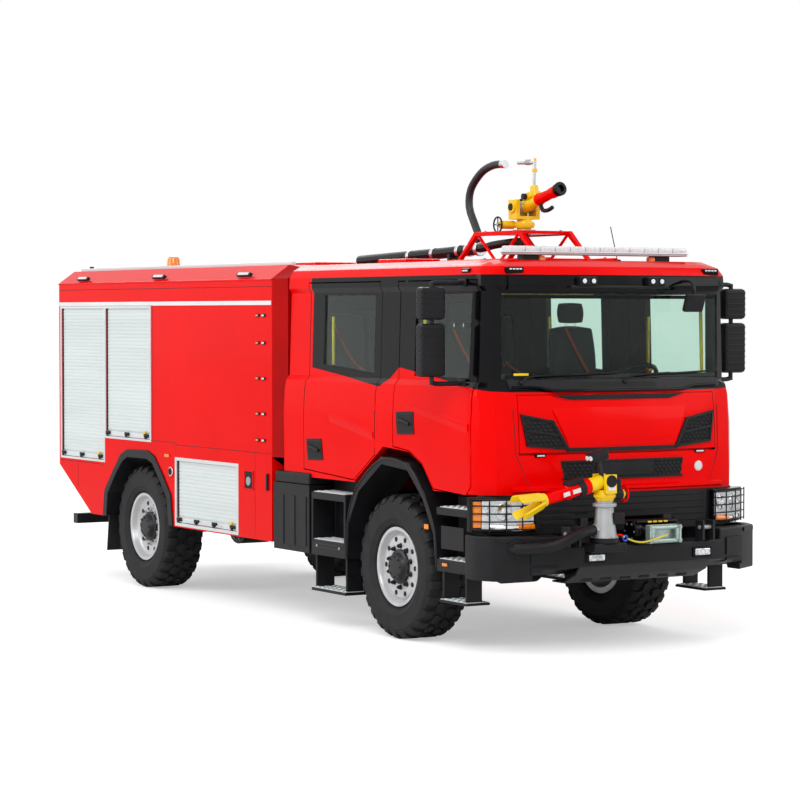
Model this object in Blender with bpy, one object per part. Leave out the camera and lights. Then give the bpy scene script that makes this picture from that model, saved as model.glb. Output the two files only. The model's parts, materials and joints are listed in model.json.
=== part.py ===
"""Airport fire truck: ladder frame, crew cab, equipment body, roof and bumper water monitors.

Metres, +Z up, the truck points along +X and its left side is +Y. Lengths along X are
counted from the front axle. The empty "frame" shifts them all, so that the middle of
the truck's length stands over the origin.
"""

import math

import bmesh
import bpy
from mathutils import Matrix, Vector

# ---------------------------------------------------------------- sizes and places

GAP = 0.0003  # between a piece and its seat
PANEL_GAP = 0.010  # round a door
SIDES = (("right", -1), ("left", 1))

# wheels
WHEELBASE = 4.75
TYRE_R = 0.585
TYRE_OUT = 1.19  # outer wall of the tyre, from the middle of the truck
TYRE_W = 0.395
BEAD_R = 0.300
BEAD_W = 0.300
FLANGE_R = 0.322
DISC_IN = TYRE_OUT - 0.10  # inner face of the wheel disc
DISC_T = 0.03
AXLE_Z = TYRE_R
WHEEL_SEGMENTS = 36
REAR_AXLE = -WHEELBASE
AXLES = (("front", 0.0), ("rear", REAR_AXLE))

# ladder frame
RAIL_IN = 0.36
RAIL_OUT = 0.43
RAIL_LOW = 0.80
RAIL_TOP = 1.05
RAIL_FRONT = 1.55
RAIL_REAR = REAR_AXLE - 1.60
KING_Y = DISC_IN - 0.16  # kingpin
FIST_R = 0.06
FIST_H = 0.24
YOKE_H = 0.035
SPRING_HALF = 0.72
SPRING_IN = 0.37
SPRING_OUT = 0.43

# cab
CAB_REAR = -1.80
CAB_LOW = 1.24
FLOOR_LOW = 1.60
FLOOR_TOP = 1.70
CEILING = 2.96
WALL = 0.06
# height, half width, x where the corner starts, x and y where it ends, x in the middle
CAB_LEVELS = (
    (1.24, 1.220, 1.16, 1.470, 0.92, 1.520),
    (1.40, 1.220, 1.16, 1.475, 0.91, 1.525),
    (1.75, 1.225, 1.16, 1.455, 0.91, 1.500),
    (1.98, 1.215, 1.15, 1.420, 0.96, 1.465),
    (2.06, 1.200, 1.13, 1.390, 0.99, 1.440),
    (2.10, 1.165, 1.11, 1.370, 1.00, 1.420),
    (2.80, 1.145, 1.11, 1.370, 0.98, 1.420),
    (2.84, 1.170, 1.12, 1.395, 0.99, 1.450),
    (2.93, 1.165, 1.12, 1.390, 0.98, 1.445),
    (2.99, 1.130, 1.08, 1.360, 0.95, 1.420),
    (3.04, 1.040, 1.00, 1.260, 0.85, 1.300),
)
ARCH = ((-0.577, 1.10), (-0.577, 1.251), (-0.111, 1.553), (0.306, 1.526), (0.494, 1.438),
        (0.665, 1.246), (0.665, 1.10))
FRONT_DOOR = ((0.05, 1.565), (0.31, 1.538), (0.50, 1.449), (0.67, 1.258), (1.14, 1.232),
              (1.20, 1.30), (1.20, 2.88), (0.05, 2.88))
REAR_DOOR = ((-1.44, 1.31), (-0.60, 1.262), (-0.25, 1.485), (-0.25, 2.88), (-1.44, 2.88))
FRONT_WINDOW = ((0.285, 2.13), (1.10, 2.13), (1.12, 2.78), (0.285, 2.78))
REAR_WINDOW = ((-1.21, 2.20), (-0.355, 2.14), (-0.355, 2.78), (-1.21, 2.78))
FRONT_HINGE_Y = 1.213
REAR_HINGE_Y = 1.2195
HINGE_R = 0.0055
HINGE_HEIGHTS = (1.57, 1.88)
FRONT_HINGE_X = 1.20 + PANEL_GAP - GAP - HINGE_R
REAR_HINGE_X = -0.25 + PANEL_GAP - GAP - HINGE_R
SCREEN_HALF = 1.03
SCREEN_LOW = 2.12
SCREEN_TOP = 2.78
SCREEN_T = 0.012
SEAT_Y = 0.55
STEERING_LEAN = math.radians(30)

# front lid
LID_HALF = 0.93
LID_LOW = 1.56
LID_TOP = 2.00
LID_T = 0.03
LID_HINGE_X = 1.47

# equipment body
BODY_FRONT = -1.97
BODY_REAR = REAR_AXLE - 1.81
BODY_HALF = 1.25
BODY_LOW = 0.645
EAVES = 2.93
BODY_TOP = 3.05
TOP_HALF = 1.08
COLLAR = 0.13
COLLAR_IN = 0.09
COLLAR_LOW = 1.38
WELL_HALF = TYRE_OUT - TYRE_W - 0.035  # under the floor, between the lockers
SHUTTER_DEEP = 0.03
SHUTTER_T = 0.014
# name, x0, x1, z0, z1
SHUTTERS = (
    ("rear_shutter", REAR_AXLE - 1.75, REAR_AXLE - 0.72, 1.19, 2.70),
    ("middle_shutter", REAR_AXLE - 0.68, REAR_AXLE + 0.33, 1.43, 2.70),
    ("lower_shutter", REAR_AXLE + 0.895, -2.63, 0.685, 1.265),
)
# the next outlines are measured from the rear axle
BODY_ARCH = ((-0.74, 0.60), (-0.70, 0.90), (-0.32, 1.27), (-0.18, 1.32), (0.28, 1.33),
             (0.435, 1.28), (0.785, 0.936), (0.83, 0.60))
BODY_TAIL = ((-1.95, 1.16), (-1.84, 1.12), (-1.03, 0.645), (-1.03, 0.50), (-1.95, 0.50))
MUD_FLAP = ((-0.7795, 0.30), (-0.764, 0.30), (-0.684, 0.90), (-0.6995, 0.90))

# front end
BUMPER_LOW = 0.60
BUMPER_TOP = 0.94
TRAY_TOP = 0.86
BUMPER_FRONT = 1.86
BUMPER_PLAN = ((1.24, 1.20), (1.24, 1.29), (1.42, 1.30), (1.56, 1.24), (1.72, 0.98),
               (BUMPER_FRONT, 0.55))
MONITOR_X = 1.90
MONITOR_Y = -0.45
MONITOR_PIVOT = 1.36
MONITOR_REST = math.radians(-13)
BARREL_L = 0.80

# roof
ROOF_AXIS_X = 0.10
ROOF_DECK = 3.30
ROOF_PIVOT = 3.50
ROOF_REST = math.radians(14)
ROOF_BARREL_L = 0.56

FINISHES = {
    "red_paint": ((0.80, 0.0, 0.0), 0.25, 0.0),
    "black_plastic": ((0.03, 0.03, 0.035), 0.5, 0.0),
    "dark_steel": ((0.05, 0.05, 0.055), 0.45, 0.6),
    "aluminium": ((0.72, 0.74, 0.74), 0.35, 0.9),
    "silver": ((0.75, 0.75, 0.75), 0.3, 0.8),
    "rubber": ((0.02, 0.02, 0.02), 0.8, 0.0),
    "glass": ((0.35, 0.5, 0.45), 0.05, 0.0),
    "seat_cloth": ((0.04, 0.04, 0.05), 0.9, 0.0),
    "yellow": ((0.9, 0.6, 0.0), 0.4, 0.0),
    "lamp_glass": ((0.85, 0.88, 0.9), 0.1, 0.0),
}

# ---------------------------------------------------------------- modelling helpers


def clear_scene():
    for thing in list(bpy.data.objects):
        bpy.data.objects.remove(thing)


def finish_of(name):
    found = bpy.data.materials.get(name)
    if found:
        return found
    colour, roughness, metallic = FINISHES[name]
    made = bpy.data.materials.new(name)
    made.use_nodes = True
    shader = made.node_tree.nodes["Principled BSDF"]
    shader.inputs["Base Color"].default_value = (*colour, 1)
    shader.inputs["Roughness"].default_value = roughness
    shader.inputs["Metallic"].default_value = metallic
    return made


def solid(bm, name="shape"):
    """An object of this bmesh, facing out."""
    bmesh.ops.recalc_face_normals(bm, faces=bm.faces)
    mesh = bpy.data.meshes.new(name)
    bm.to_mesh(mesh)
    bm.free()
    made = bpy.data.objects.new(name, mesh)
    bpy.context.scene.collection.objects.link(made)
    return made


def box(x, y, z):
    """A box from (low, high) pairs."""
    bm = bmesh.new()
    bmesh.ops.create_cube(bm, size=1)
    for vert in bm.verts:
        vert.co = Vector([pair[0] if c < 0 else pair[1] for pair, c in zip((x, y, z), vert.co)])
    return solid(bm)


def side_box(side, x, y, z):
    """The same, for one side: y counts outwards."""
    return box(x, sorted((side * y[0], side * y[1])), z)


PLACE = {"x": lambda a, u, v: (a, u, v), "y": lambda a, u, v: (u, a, v), "z": lambda a, u, v: (u, v, a)}


def prism(outline, axis, low, high):
    """An outline in the two other axes, in their order, pushed along axis from low to high."""
    bm = bmesh.new()
    rings = [[bm.verts.new(PLACE[axis](at, u, v)) for u, v in outline] for at in (low, high)]
    for ring in rings:
        bm.faces.new(ring)
    count = len(outline)
    for i in range(count):
        j = (i + 1) % count
        bm.faces.new((rings[0][i], rings[0][j], rings[1][j], rings[1][i]))
    return solid(bm)


def from_rear_axle(outline):
    return [(REAR_AXLE + x, z) for x, z in outline]


def side_prism(side, outline, inner, outer):
    """An (x, z) outline pushed outwards on one side."""
    low, high = sorted((side * inner, side * outer))
    return prism(outline, "y", low, high)


def loft(rings):
    """A closed body through rings of as many points each."""
    bm = bmesh.new()
    made = [[bm.verts.new(point) for point in ring] for ring in rings]
    bm.faces.new(made[0])
    bm.faces.new(made[-1])
    for below, above in zip(made, made[1:]):
        for i in range(len(below)):
            j = (i + 1) % len(below)
            bm.faces.new((below[i], below[j], above[j], above[i]))
    return solid(bm)


def turned(profile, centre, axis, segments=32):
    """A closed profile of (distance along axis, radius), turned about an axis through centre."""
    turn = {"x": Matrix.Identity(3), "y": Matrix.Rotation(math.pi / 2, 3, "Z"),
            "z": Matrix.Rotation(-math.pi / 2, 3, "Y")}[axis]
    bm = bmesh.new()
    rings = []
    for i in range(segments):
        angle = 2 * math.pi * i / segments
        ring = []
        for along, radius in profile:
            point = Vector((along, radius * math.cos(angle), radius * math.sin(angle)))
            ring.append(bm.verts.new(turn @ point + Vector(centre)))
        rings.append(ring)
    count = len(profile)
    for i in range(segments):
        for j in range(count):
            k = (j + 1) % count
            n = (i + 1) % segments
            bm.faces.new((rings[i][j], rings[i][k], rings[n][k], rings[n][j]))
    bmesh.ops.remove_doubles(bm, verts=bm.verts, dist=1e-6)
    return solid(bm)


def rod(start, end, radius, segments=16):
    """A round bar between two points."""
    start, end = Vector(start), Vector(end)
    way = end - start
    bm = bmesh.new()
    place = Matrix.Translation((start + end) / 2) @ way.to_track_quat("Z", "Y").to_matrix().to_4x4()
    bmesh.ops.create_cone(bm, cap_ends=True, segments=segments, radius1=radius, radius2=radius,
                          depth=way.length, matrix=place)
    return solid(bm)


def smooth_route(points, step):
    """Points about step apart on a Catmull-Rom curve through these."""
    points = [Vector(p) for p in points]
    ends = [2 * points[0] - points[1], *points, 2 * points[-1] - points[-2]]
    route = []
    for a, b, c, d in zip(ends, ends[1:], ends[2:], ends[3:]):
        count = max(2, round((c - b).length / step))
        for i in range(count):
            t = i / count
            route.append(0.5 * (2 * b + (c - a) * t + (2 * a - 5 * b + 4 * c - d) * t * t
                                + (3 * b - a - 3 * c + d) * t ** 3))
    return [*route, points[-1]]


def tube(points, radius, sides=10, step=0.06):
    """A round tube along a smooth curve through the points."""
    route = smooth_route(points, step)
    bm = bmesh.new()
    rings = []
    across = None
    for i, point in enumerate(route):
        way = (route[min(i + 1, len(route) - 1)] - route[max(i - 1, 0)]).normalized()
        if i == 0:
            way = (Vector(points[1]) - Vector(points[0])).normalized()
        across = (across or way.orthogonal())
        across = (across - way * across.dot(way)).normalized()
        up = way.cross(across)
        rings.append([bm.verts.new(point + radius * (across * math.cos(a) + up * math.sin(a)))
                      for a in (2 * math.pi * k / sides for k in range(sides))])
    bm.faces.new(rings[0])
    bm.faces.new(rings[-1])
    for here, there in zip(rings, rings[1:]):
        for i in range(sides):
            j = (i + 1) % sides
            bm.faces.new((here[i], here[j], there[j], there[i]))
    return solid(bm)


def combine(base, tool, operation):
    boolean = base.modifiers.new("combine", "BOOLEAN")
    boolean.operation = operation
    boolean.object = tool
    graph = bpy.context.evaluated_depsgraph_get()
    mesh = bpy.data.meshes.new_from_object(base.evaluated_get(graph))
    base.modifiers.clear()
    base.data = mesh
    bpy.data.objects.remove(tool)
    return base


def union(base, *others):
    for other in others:
        combine(base, other, "UNION")
    return base


def cut(base, *tools):
    for tool in tools:
        combine(base, tool, "DIFFERENCE")
    return base


def common(base, tool):
    return combine(base, tool, "INTERSECT")


def node(name, body, finish, origin=(0, 0, 0)):
    """Names the body and sets its origin, which lies on its joint's axis if it moves."""
    body.name = name
    body.data.name = name
    body.data.transform(Matrix.Translation(-Vector(origin)))
    body.data.materials.clear()
    body.data.materials.append(finish_of(finish))
    body.data.shade_smooth()
    body.data.set_sharp_from_angle(angle=math.radians(35))
    body.location = origin
    body.parent = FRAME
    return body


# ---------------------------------------------------------------- running gear


def tyre_profile(side, outer=TYRE_OUT):
    """Along the axle and radius: bead, wall, shoulder and tread of one tyre."""
    middle = outer - TYRE_W / 2
    half, bead = TYRE_W / 2, BEAD_W / 2
    shape = ((-bead, BEAD_R + GAP), (-bead, FLANGE_R + 0.01), (-half, 0.42), (-half, 0.50),
             (-half + 0.03, 0.565), (-half + 0.06, TYRE_R))
    shape += tuple((-a, r) for a, r in reversed(shape))
    return [(side * (middle + a), r) for a, r in shape]


def rim_profile(side, front):
    """Barrel with two flanges, disc and hub."""
    middle = TYRE_OUT - TYRE_W / 2
    bead = BEAD_W / 2
    out = middle + bead + GAP
    back = middle - bead - GAP
    hub_r, hub_out = (0.155, TYRE_OUT - 0.005) if front else (0.15, TYRE_OUT - 0.03)
    shape = ((back - 0.014, 0.27), (back - 0.014, FLANGE_R), (back, FLANGE_R), (back, BEAD_R),
             (out, BEAD_R), (out, FLANGE_R), (out + 0.014, FLANGE_R), (out + 0.014, 0.285),
             (DISC_IN + DISC_T, 0.262), (DISC_IN + DISC_T, 0.19), (hub_out - 0.02, hub_r + 0.01),
             (hub_out, hub_r - 0.02), (hub_out, 0.0), (DISC_IN, 0.0), (DISC_IN, 0.25), (DISC_IN - 0.02, 0.27))
    return [(side * a, r) for a, r in shape]


def wheels():
    for end, x in AXLES:
        for name, side in SIDES:
            centre = (x, 0, AXLE_Z)
            hub = (x, side * DISC_IN, AXLE_Z)
            tyre = turned(tyre_profile(side), centre, "y", WHEEL_SEGMENTS)
            node(f"{end}_{name}_tyre", tyre, "rubber", hub)
            rim = turned(rim_profile(side, end == "front"), centre, "y", WHEEL_SEGMENTS)
            node(f"{end}_{name}_rim", rim, "silver", hub)


def springs(x):
    """A leaf spring and its two hangers under each rail."""
    made = []
    for _, side in SIDES:
        made.append(side_box(side, (x - SPRING_HALF, x + SPRING_HALF), (SPRING_IN, SPRING_OUT),
                             (AXLE_Z + 0.06, AXLE_Z + 0.12)))
        for end in (-1, 1):
            at = x + end * (SPRING_HALF - 0.04)
            made.append(side_box(side, (at - 0.03, at + 0.03), (SPRING_IN + 0.005, SPRING_OUT - 0.005),
                                 (AXLE_Z + 0.10, RAIL_LOW - GAP)))
    return made


def axles():
    beam = box((-0.06, 0.06), (-KING_Y, KING_Y), (AXLE_Z - 0.07, AXLE_Z + 0.07))
    fists = [rod((0, side * KING_Y, AXLE_Z - FIST_H / 2), (0, side * KING_Y, AXLE_Z + FIST_H / 2), FIST_R)
             for _, side in SIDES]
    housing = rod((0, -0.16, AXLE_Z), (0, 0.16, AXLE_Z), 0.19, 20)
    node("front_axle", union(beam, housing, *fists, *springs(0)), "dark_steel")
    x = -WHEELBASE
    tube_ = rod((x, -DISC_IN + GAP, AXLE_Z), (x, DISC_IN - GAP, AXLE_Z), 0.08)
    housing = rod((x, -0.16, AXLE_Z), (x, 0.16, AXLE_Z), 0.21, 20)
    node("rear_axle", union(tube_, housing, *springs(x)), "dark_steel")
    for name, side in SIDES:
        top = AXLE_Z + FIST_H / 2 + GAP
        low = AXLE_Z - FIST_H / 2 - GAP
        back = KING_Y + FIST_R + 0.012
        yoke = side_box(side, (-0.05, 0.05), (back, back + 0.035), (low - YOKE_H, top + YOKE_H))
        eyes = [side_box(side, (-0.05, 0.05), (KING_Y - 0.05, back + 0.01), span)
                for span in ((top, top + YOKE_H), (low - YOKE_H, low))]
        spindle = rod((0, side * (back + 0.02), AXLE_Z), (0, side * (DISC_IN - GAP), AXLE_Z), 0.075)
        node(f"{name}_knuckle", union(yoke, *eyes, spindle), "dark_steel", (0, side * KING_Y, AXLE_Z))


def frame_and_powertrain():
    rails = [side_box(side, (RAIL_REAR, RAIL_FRONT), (RAIL_IN, RAIL_OUT), (RAIL_LOW, RAIL_TOP))
             for _, side in SIDES]
    bars = [box((x - 0.04, x + 0.04), (-RAIL_IN - 0.01, RAIL_IN + 0.01), (RAIL_LOW + 0.13, RAIL_TOP - 0.04))
            for x in (1.35, -2.55, -3.6, REAR_AXLE - 0.85, REAR_AXLE - 1.50)]
    node("chassis_frame", union(*rails, *bars), "dark_steel")
    half = RAIL_IN - GAP
    engine = box((-0.30, 1.10), (-half, half), (0.84, 1.52))
    gearbox = box((-1.25, -0.28), (-0.24, 0.24), (0.86, 1.30))
    transfer = box((-2.20, -1.60), (-half, half), (0.84, 1.02))
    link = rod((-1.65, 0, 0.93), (-1.20, 0, 0.93), 0.05)
    rear_shaft = rod((-2.15, 0, 0.90), (-WHEELBASE + 0.215, 0, AXLE_Z + 0.04), 0.045)
    node("powertrain", union(engine, gearbox, transfer, link, rear_shaft), "dark_steel")


# ---------------------------------------------------------------- cab


def level_at(z):
    """The cab's row at any height, read between the levels."""
    if z <= CAB_LEVELS[0][0]:
        return (z, *CAB_LEVELS[0][1:])
    for low, high in zip(CAB_LEVELS, CAB_LEVELS[1:]):
        if z <= high[0]:
            t = (z - low[0]) / (high[0] - low[0])
            return tuple(a + (b - a) * t for a, b in zip(low, high))
    return (z, *CAB_LEVELS[-1][1:])


def cab_ring(level, inset):
    """The cab's outline in plan at one level, drawn in by inset."""
    z, half, start, corner_x, corner_y, middle = level
    rear = CAB_REAR + inset
    half -= inset
    corner_y -= inset * 0.6
    corner_x -= inset
    middle -= inset
    a = Vector((start - inset * 0.4, half))
    b = Vector((corner_x, corner_y))
    c = Vector((corner_x - 0.02, half))
    curve = [(1 - t) ** 2 * a + 2 * t * (1 - t) * c + t * t * b for t in (0, 0.3, 0.6, 1)]
    left = [(rear, half), *((p.x, p.y) for p in curve), (middle, corner_y * 0.35)]
    return [(x, y, z) for x, y in left] + [(x, -y, z) for x, y in reversed(left)]


def cab_solid(inset=0.0, low=CAB_LOW, high=CAB_LEVELS[-1][0]):
    heights = [low, *(row[0] for row in CAB_LEVELS if low < row[0] < high), high]
    return loft([cab_ring(level_at(z), inset) for z in heights])


def grown(outline, by):
    """An outline moved out by a distance, corner by corner."""
    area = sum(a[0] * b[1] - b[0] * a[1] for a, b in zip(outline, (*outline[1:], outline[0])))
    sign = 1 if area > 0 else -1
    count = len(outline)
    made = []
    for i in range(count):
        before, here, after = (Vector(outline[(i + k) % count]) for k in (-1, 0, 1))
        first, second = (here - before).normalized(), (after - here).normalized()
        n1, n2 = (Vector((d.y, -d.x)) * sign for d in (first, second))
        out = (n1 + n2).normalized()
        made.append(tuple(here + out * by / max(0.35, out.dot(n1))))
    return made


def cab():
    shell = cab_solid()
    cut(shell, cab_solid(WALL, FLOOR_TOP, CEILING))
    cut(shell, cab_solid(WALL, CAB_LOW - 0.1, FLOOR_LOW))
    for _, side in SIDES:
        cut(shell, side_prism(side, ARCH, 0.80, 1.40))
        for outline in (FRONT_DOOR, REAR_DOOR):
            cut(shell, side_prism(side, grown(outline, PANEL_GAP), 1.05, 1.40))
    cut(shell, box((1.20, 1.60), (-SCREEN_HALF, SCREEN_HALF), (SCREEN_LOW, SCREEN_TOP)))
    recess = box((1.20, 1.70), (-LID_HALF - 0.006, LID_HALF + 0.006), (LID_LOW - 0.018, LID_TOP + 0.004))
    cut(shell, cut(recess, cab_solid(LID_T + PANEL_GAP, 1.4, 2.1)))
    for x in (1.22, -1.60):
        for _, side in SIDES:
            union(shell, side_box(side, (x - 0.06, x + 0.06), (RAIL_IN, RAIL_OUT),
                                  (RAIL_TOP + GAP, FLOOR_LOW + 0.02)))
    node("cab_shell", shell, "red_paint")

    screen = cab_solid(0.008, SCREEN_LOW + GAP, SCREEN_TOP - GAP)
    cut(screen, cab_solid(0.008 + SCREEN_T, SCREEN_LOW - 0.1, SCREEN_TOP + 0.1))
    common(screen, box((1.20, 1.60), (-SCREEN_HALF + GAP, SCREEN_HALF - GAP), (2.0, 2.9)))
    node("windscreen", screen, "glass")

    lid = cab_solid(0, LID_LOW, LID_TOP)
    cut(lid, cab_solid(LID_T, 1.4, 2.1))
    common(lid, box((1.20, 1.60), (-LID_HALF, LID_HALF), (1.0, 2.5)))
    for _, side in SIDES:
        union(lid, side_box(side, (1.435, 1.455), (0.26, 0.34), (1.985, LID_TOP + 0.004 - GAP)))
    node("front_lid", lid, "red_paint", (LID_HINGE_X, 0, LID_TOP))


def doors():
    for name, side in SIDES:
        for which, outline, window, hinge, out in (
                ("front", FRONT_DOOR, FRONT_WINDOW, FRONT_HINGE_X, FRONT_HINGE_Y),
                ("rear", REAR_DOOR, REAR_WINDOW, REAR_HINGE_X, REAR_HINGE_Y)):
            door = cab_solid(0, 1.20, 3.0)
            cut(door, cab_solid(WALL, 1.0, 3.2))
            common(door, side_prism(side, outline, 1.06, 1.40))
            cut(door, side_prism(side, window, 1.0, 1.40))
            for z in HINGE_HEIGHTS:
                union(door, rod((hinge, side * out, z - 0.04), (hinge, side * out, z + 0.04), HINGE_R, 12))
            node(f"{name}_{which}_door", door, "red_paint", (hinge, side * out, FLOOR_LOW))


def steering_wheel():
    """The rim, a spoke and the column, on the left."""
    centre = Vector((0.82, SEAT_Y, 2.10))
    place = Matrix.Translation(centre) @ Matrix.Rotation(STEERING_LEAN, 4, "Y").inverted()
    thick = 0.014
    wheel = turned(((-thick, 0.21), (-thick, 0.24), (thick, 0.24), (thick, 0.21)), (0, 0, 0), "z", 20)
    spoke = box((-0.02, 0.02), (-0.22, 0.22), (-0.01, 0.01))
    for piece in (wheel, spoke):
        piece.data.transform(place)
    column = rod(centre, (1.05, SEAT_Y, 1.95), 0.03, 10)
    return union(column, spoke, wheel)


def cab_inside():
    base = FLOOR_TOP + GAP
    outline = ((0.98, base), (1.25, base), (1.25, 2.07), (1.15, 2.09), (0.95, 2.02), (0.98, 1.85))
    dash = prism(outline, "y", -0.98, 0.98)
    node("dashboard", union(dash, steering_wheel()), "black_plastic")
    for name, y in (("driver_seat", SEAT_Y), ("passenger_seat", -SEAT_Y)):
        foot = box((0.10, 0.50), (y - 0.17, y + 0.17), (base, 1.86))
        cushion = prism(((0.02, 1.85), (0.56, 1.85), (0.56, 1.97), (0.10, 1.95)), "y", y - 0.25, y + 0.25)
        back = prism(((0.02, 1.86), (0.14, 1.90), (0.02, 2.56), (-0.08, 2.56), (-0.06, 2.00)),
                     "y", y - 0.24, y + 0.24)
        head = box((-0.08, 0.01), (y - 0.13, y + 0.13), (2.54, 2.72))
        node(name, union(foot, cushion, back, head), "seat_cloth")
    outline = ((-1.70, base), (-1.16, base), (-1.10, 1.98), (-1.10, 2.08), (-1.50, 2.06), (-1.58, 2.68),
               (-1.70, 2.68))
    node("crew_bench", prism(outline, "y", -1.02, 1.02), "seat_cloth")


# ---------------------------------------------------------------- low side pieces

STEP_REAR = -1.263
STEP_FRONT = -0.68
STEP_LOW = 0.595
SIDE = BODY_HALF
STEP_TREAD = 0.725
STEP_UPPER = 1.125
HUNG_STEP = (0.29, 0.315)
FENDER_OUT = ((-0.679, 0.60), (-0.66, 0.93), (-0.50, 1.22), (-0.10, 1.475), (0.34, 1.44), (0.58, 1.215),
              (0.74, 0.92), (0.775, 0.652))
FENDER_IN = ((0.745, 0.652), (0.71, 0.90), (0.545, 1.17), (0.31, 1.38), (-0.09, 1.41), (-0.46, 1.17),
             (-0.63, 0.90), (-0.655, 0.60))


def step_profile(low, first, second, deep, top):
    """(y, z): two steps, one above the other, with a foot hole between."""
    return ((0.86, low), (SIDE, low), (SIDE, first), (SIDE - deep, first), (SIDE - deep, second - 0.06),
            (SIDE, second - 0.06), (SIDE, second), (SIDE - deep, second), (SIDE - deep, top), (0.86, top))


def low_sides():
    for name, side in SIDES:
        outline = [(side * y, z) for y, z in step_profile(STEP_LOW, STEP_TREAD, STEP_UPPER, 0.22, 1.22)]
        steps = prism(outline, "x", STEP_REAR, STEP_FRONT)
        cheeks = [side_box(side, span, (0.95, SIDE), (STEP_LOW, STEP_UPPER)) for span in
                  ((STEP_REAR, STEP_REAR + 0.03), (STEP_FRONT - 0.03, STEP_FRONT))]
        arm = side_box(side, (-1.02, -0.92), (RAIL_OUT + GAP, 0.90), (0.86, 0.98))
        hung = [side_box(side, (STEP_REAR, STEP_FRONT), (SIDE - 0.24, SIDE), HUNG_STEP)]
        hung += [side_box(side, span, (SIDE - 0.20, SIDE - 0.03), (0.30, STEP_LOW + 0.02)) for span in
                 ((STEP_REAR + 0.02, STEP_REAR + 0.05), (STEP_FRONT - 0.05, STEP_FRONT - 0.02))]
        node(f"{name}_step_box", union(steps, *cheeks, arm, *hung), "black_plastic")

        tank = side_box(side, (-1.94, -1.30), (RAIL_OUT + GAP, SIDE), (STEP_LOW, 1.173))
        node(f"{name}_side_tank", tank, "black_plastic")

        arch = side_prism(side, FENDER_OUT + FENDER_IN, 0.86, SIDE)
        outline = [(side * y, z) for y, z in step_profile(0.62, 0.717, 1.12, 0.20, 1.20)]
        steps = prism(outline, "x", 0.76, 1.21)
        wheel_side = ((0.5, 0.5), (0.765, 0.5), (0.765, 0.66), (0.73, 0.92), (0.57, 1.20), (0.5, 1.3))
        cut(steps, side_prism(side, wheel_side, 0.8, 1.3))
        low = [side_box(side, (0.80, 1.20), (SIDE - 0.22, SIDE), (0.38, 0.40))]
        low += [side_box(side, span, (SIDE - 0.16, SIDE - 0.02), (0.39, 0.64)) for span in
                ((0.82, 0.85), (1.15, 1.18))]
        arm = side_box(side, (0.95, 1.05), (RAIL_OUT + GAP, 0.90), (0.86, 0.98))
        node(f"{name}_front_fender", union(arch, steps, arm, *low), "black_plastic")

        flap = side_prism(side, from_rear_axle(MUD_FLAP), 0.80, 1.20)
        node(f"{name}_mud_flap", flap, "rubber")


# ---------------------------------------------------------------- equipment body


def body_ring(x, inset, low):
    left = [(BODY_HALF - inset, low), (BODY_HALF - inset, EAVES), (TOP_HALF - inset, BODY_TOP - inset * 0.3)]
    return [(x, y, z) for y, z in left] + [(x, -y, z) for y, z in reversed(left)]


def equipment_body():
    body = loft([body_ring(BODY_REAR, 0, BODY_LOW), body_ring(BODY_FRONT, 0, BODY_LOW)])
    collar = loft([body_ring(BODY_FRONT - 0.02, 0.001, COLLAR_LOW), body_ring(BODY_FRONT, 0.001, COLLAR_LOW),
                   body_ring(BODY_FRONT + COLLAR, COLLAR_IN, COLLAR_LOW)])
    union(body, collar)
    cut(body, box((BODY_REAR - 0.1, BODY_FRONT + 0.3), (-WELL_HALF, WELL_HALF), (0.5, RAIL_TOP + GAP)))
    cut(body, prism(from_rear_axle(BODY_TAIL), "y", -1.5, 1.5))
    for _, side in SIDES:
        cut(body, side_prism(side, from_rear_axle(BODY_ARCH), WELL_HALF - 0.02, 1.40))
        for _, x0, x1, z0, z1 in SHUTTERS:
            cut(body, side_box(side, (x0, x1), (BODY_HALF - SHUTTER_DEEP, 1.40), (z0, z1)))
    cut(body, box((BODY_REAR - 0.1, BODY_REAR + SHUTTER_DEEP), (-0.80, 0.80), (1.19, 2.70)))
    node("equipment_body", body, "red_paint")
    back = BODY_HALF - SHUTTER_DEEP + GAP
    for name, side in SIDES:
        for which, x0, x1, z0, z1 in SHUTTERS:
            slab = side_box(side, (x0 + 0.002, x1 - 0.002), (back, back + SHUTTER_T), (z0 + 0.002, z1 - 0.002))
            node(f"{name}_{which}", slab, "aluminium")
    back = BODY_REAR + SHUTTER_DEEP - GAP
    node("tail_shutter", box((back - SHUTTER_T, back), (-0.798, 0.798), (1.192, 2.698)), "aluminium")
    bar = box((BODY_REAR + 0.04, BODY_REAR + 0.14), (-1.12, 1.12), (0.50, 0.60))
    holders = [side_box(side, (BODY_REAR + x0, BODY_REAR + x1), (RAIL_IN, RAIL_OUT), span)
               for _, side in SIDES
               for x0, x1, span in ((0.08, 0.22, (0.52, 0.78)), (0.16, 0.36, (0.70, 0.78)),
                                    (0.26, 0.36, (0.70, RAIL_LOW - GAP)))]
    node("rear_underrun", union(bar, *holders), "dark_steel")


# ---------------------------------------------------------------- front end


def mirrored(half):
    """A plan outline from its left half, front middle last."""
    return [*half, *((x, -y) for x, y in reversed(half))]


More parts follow.
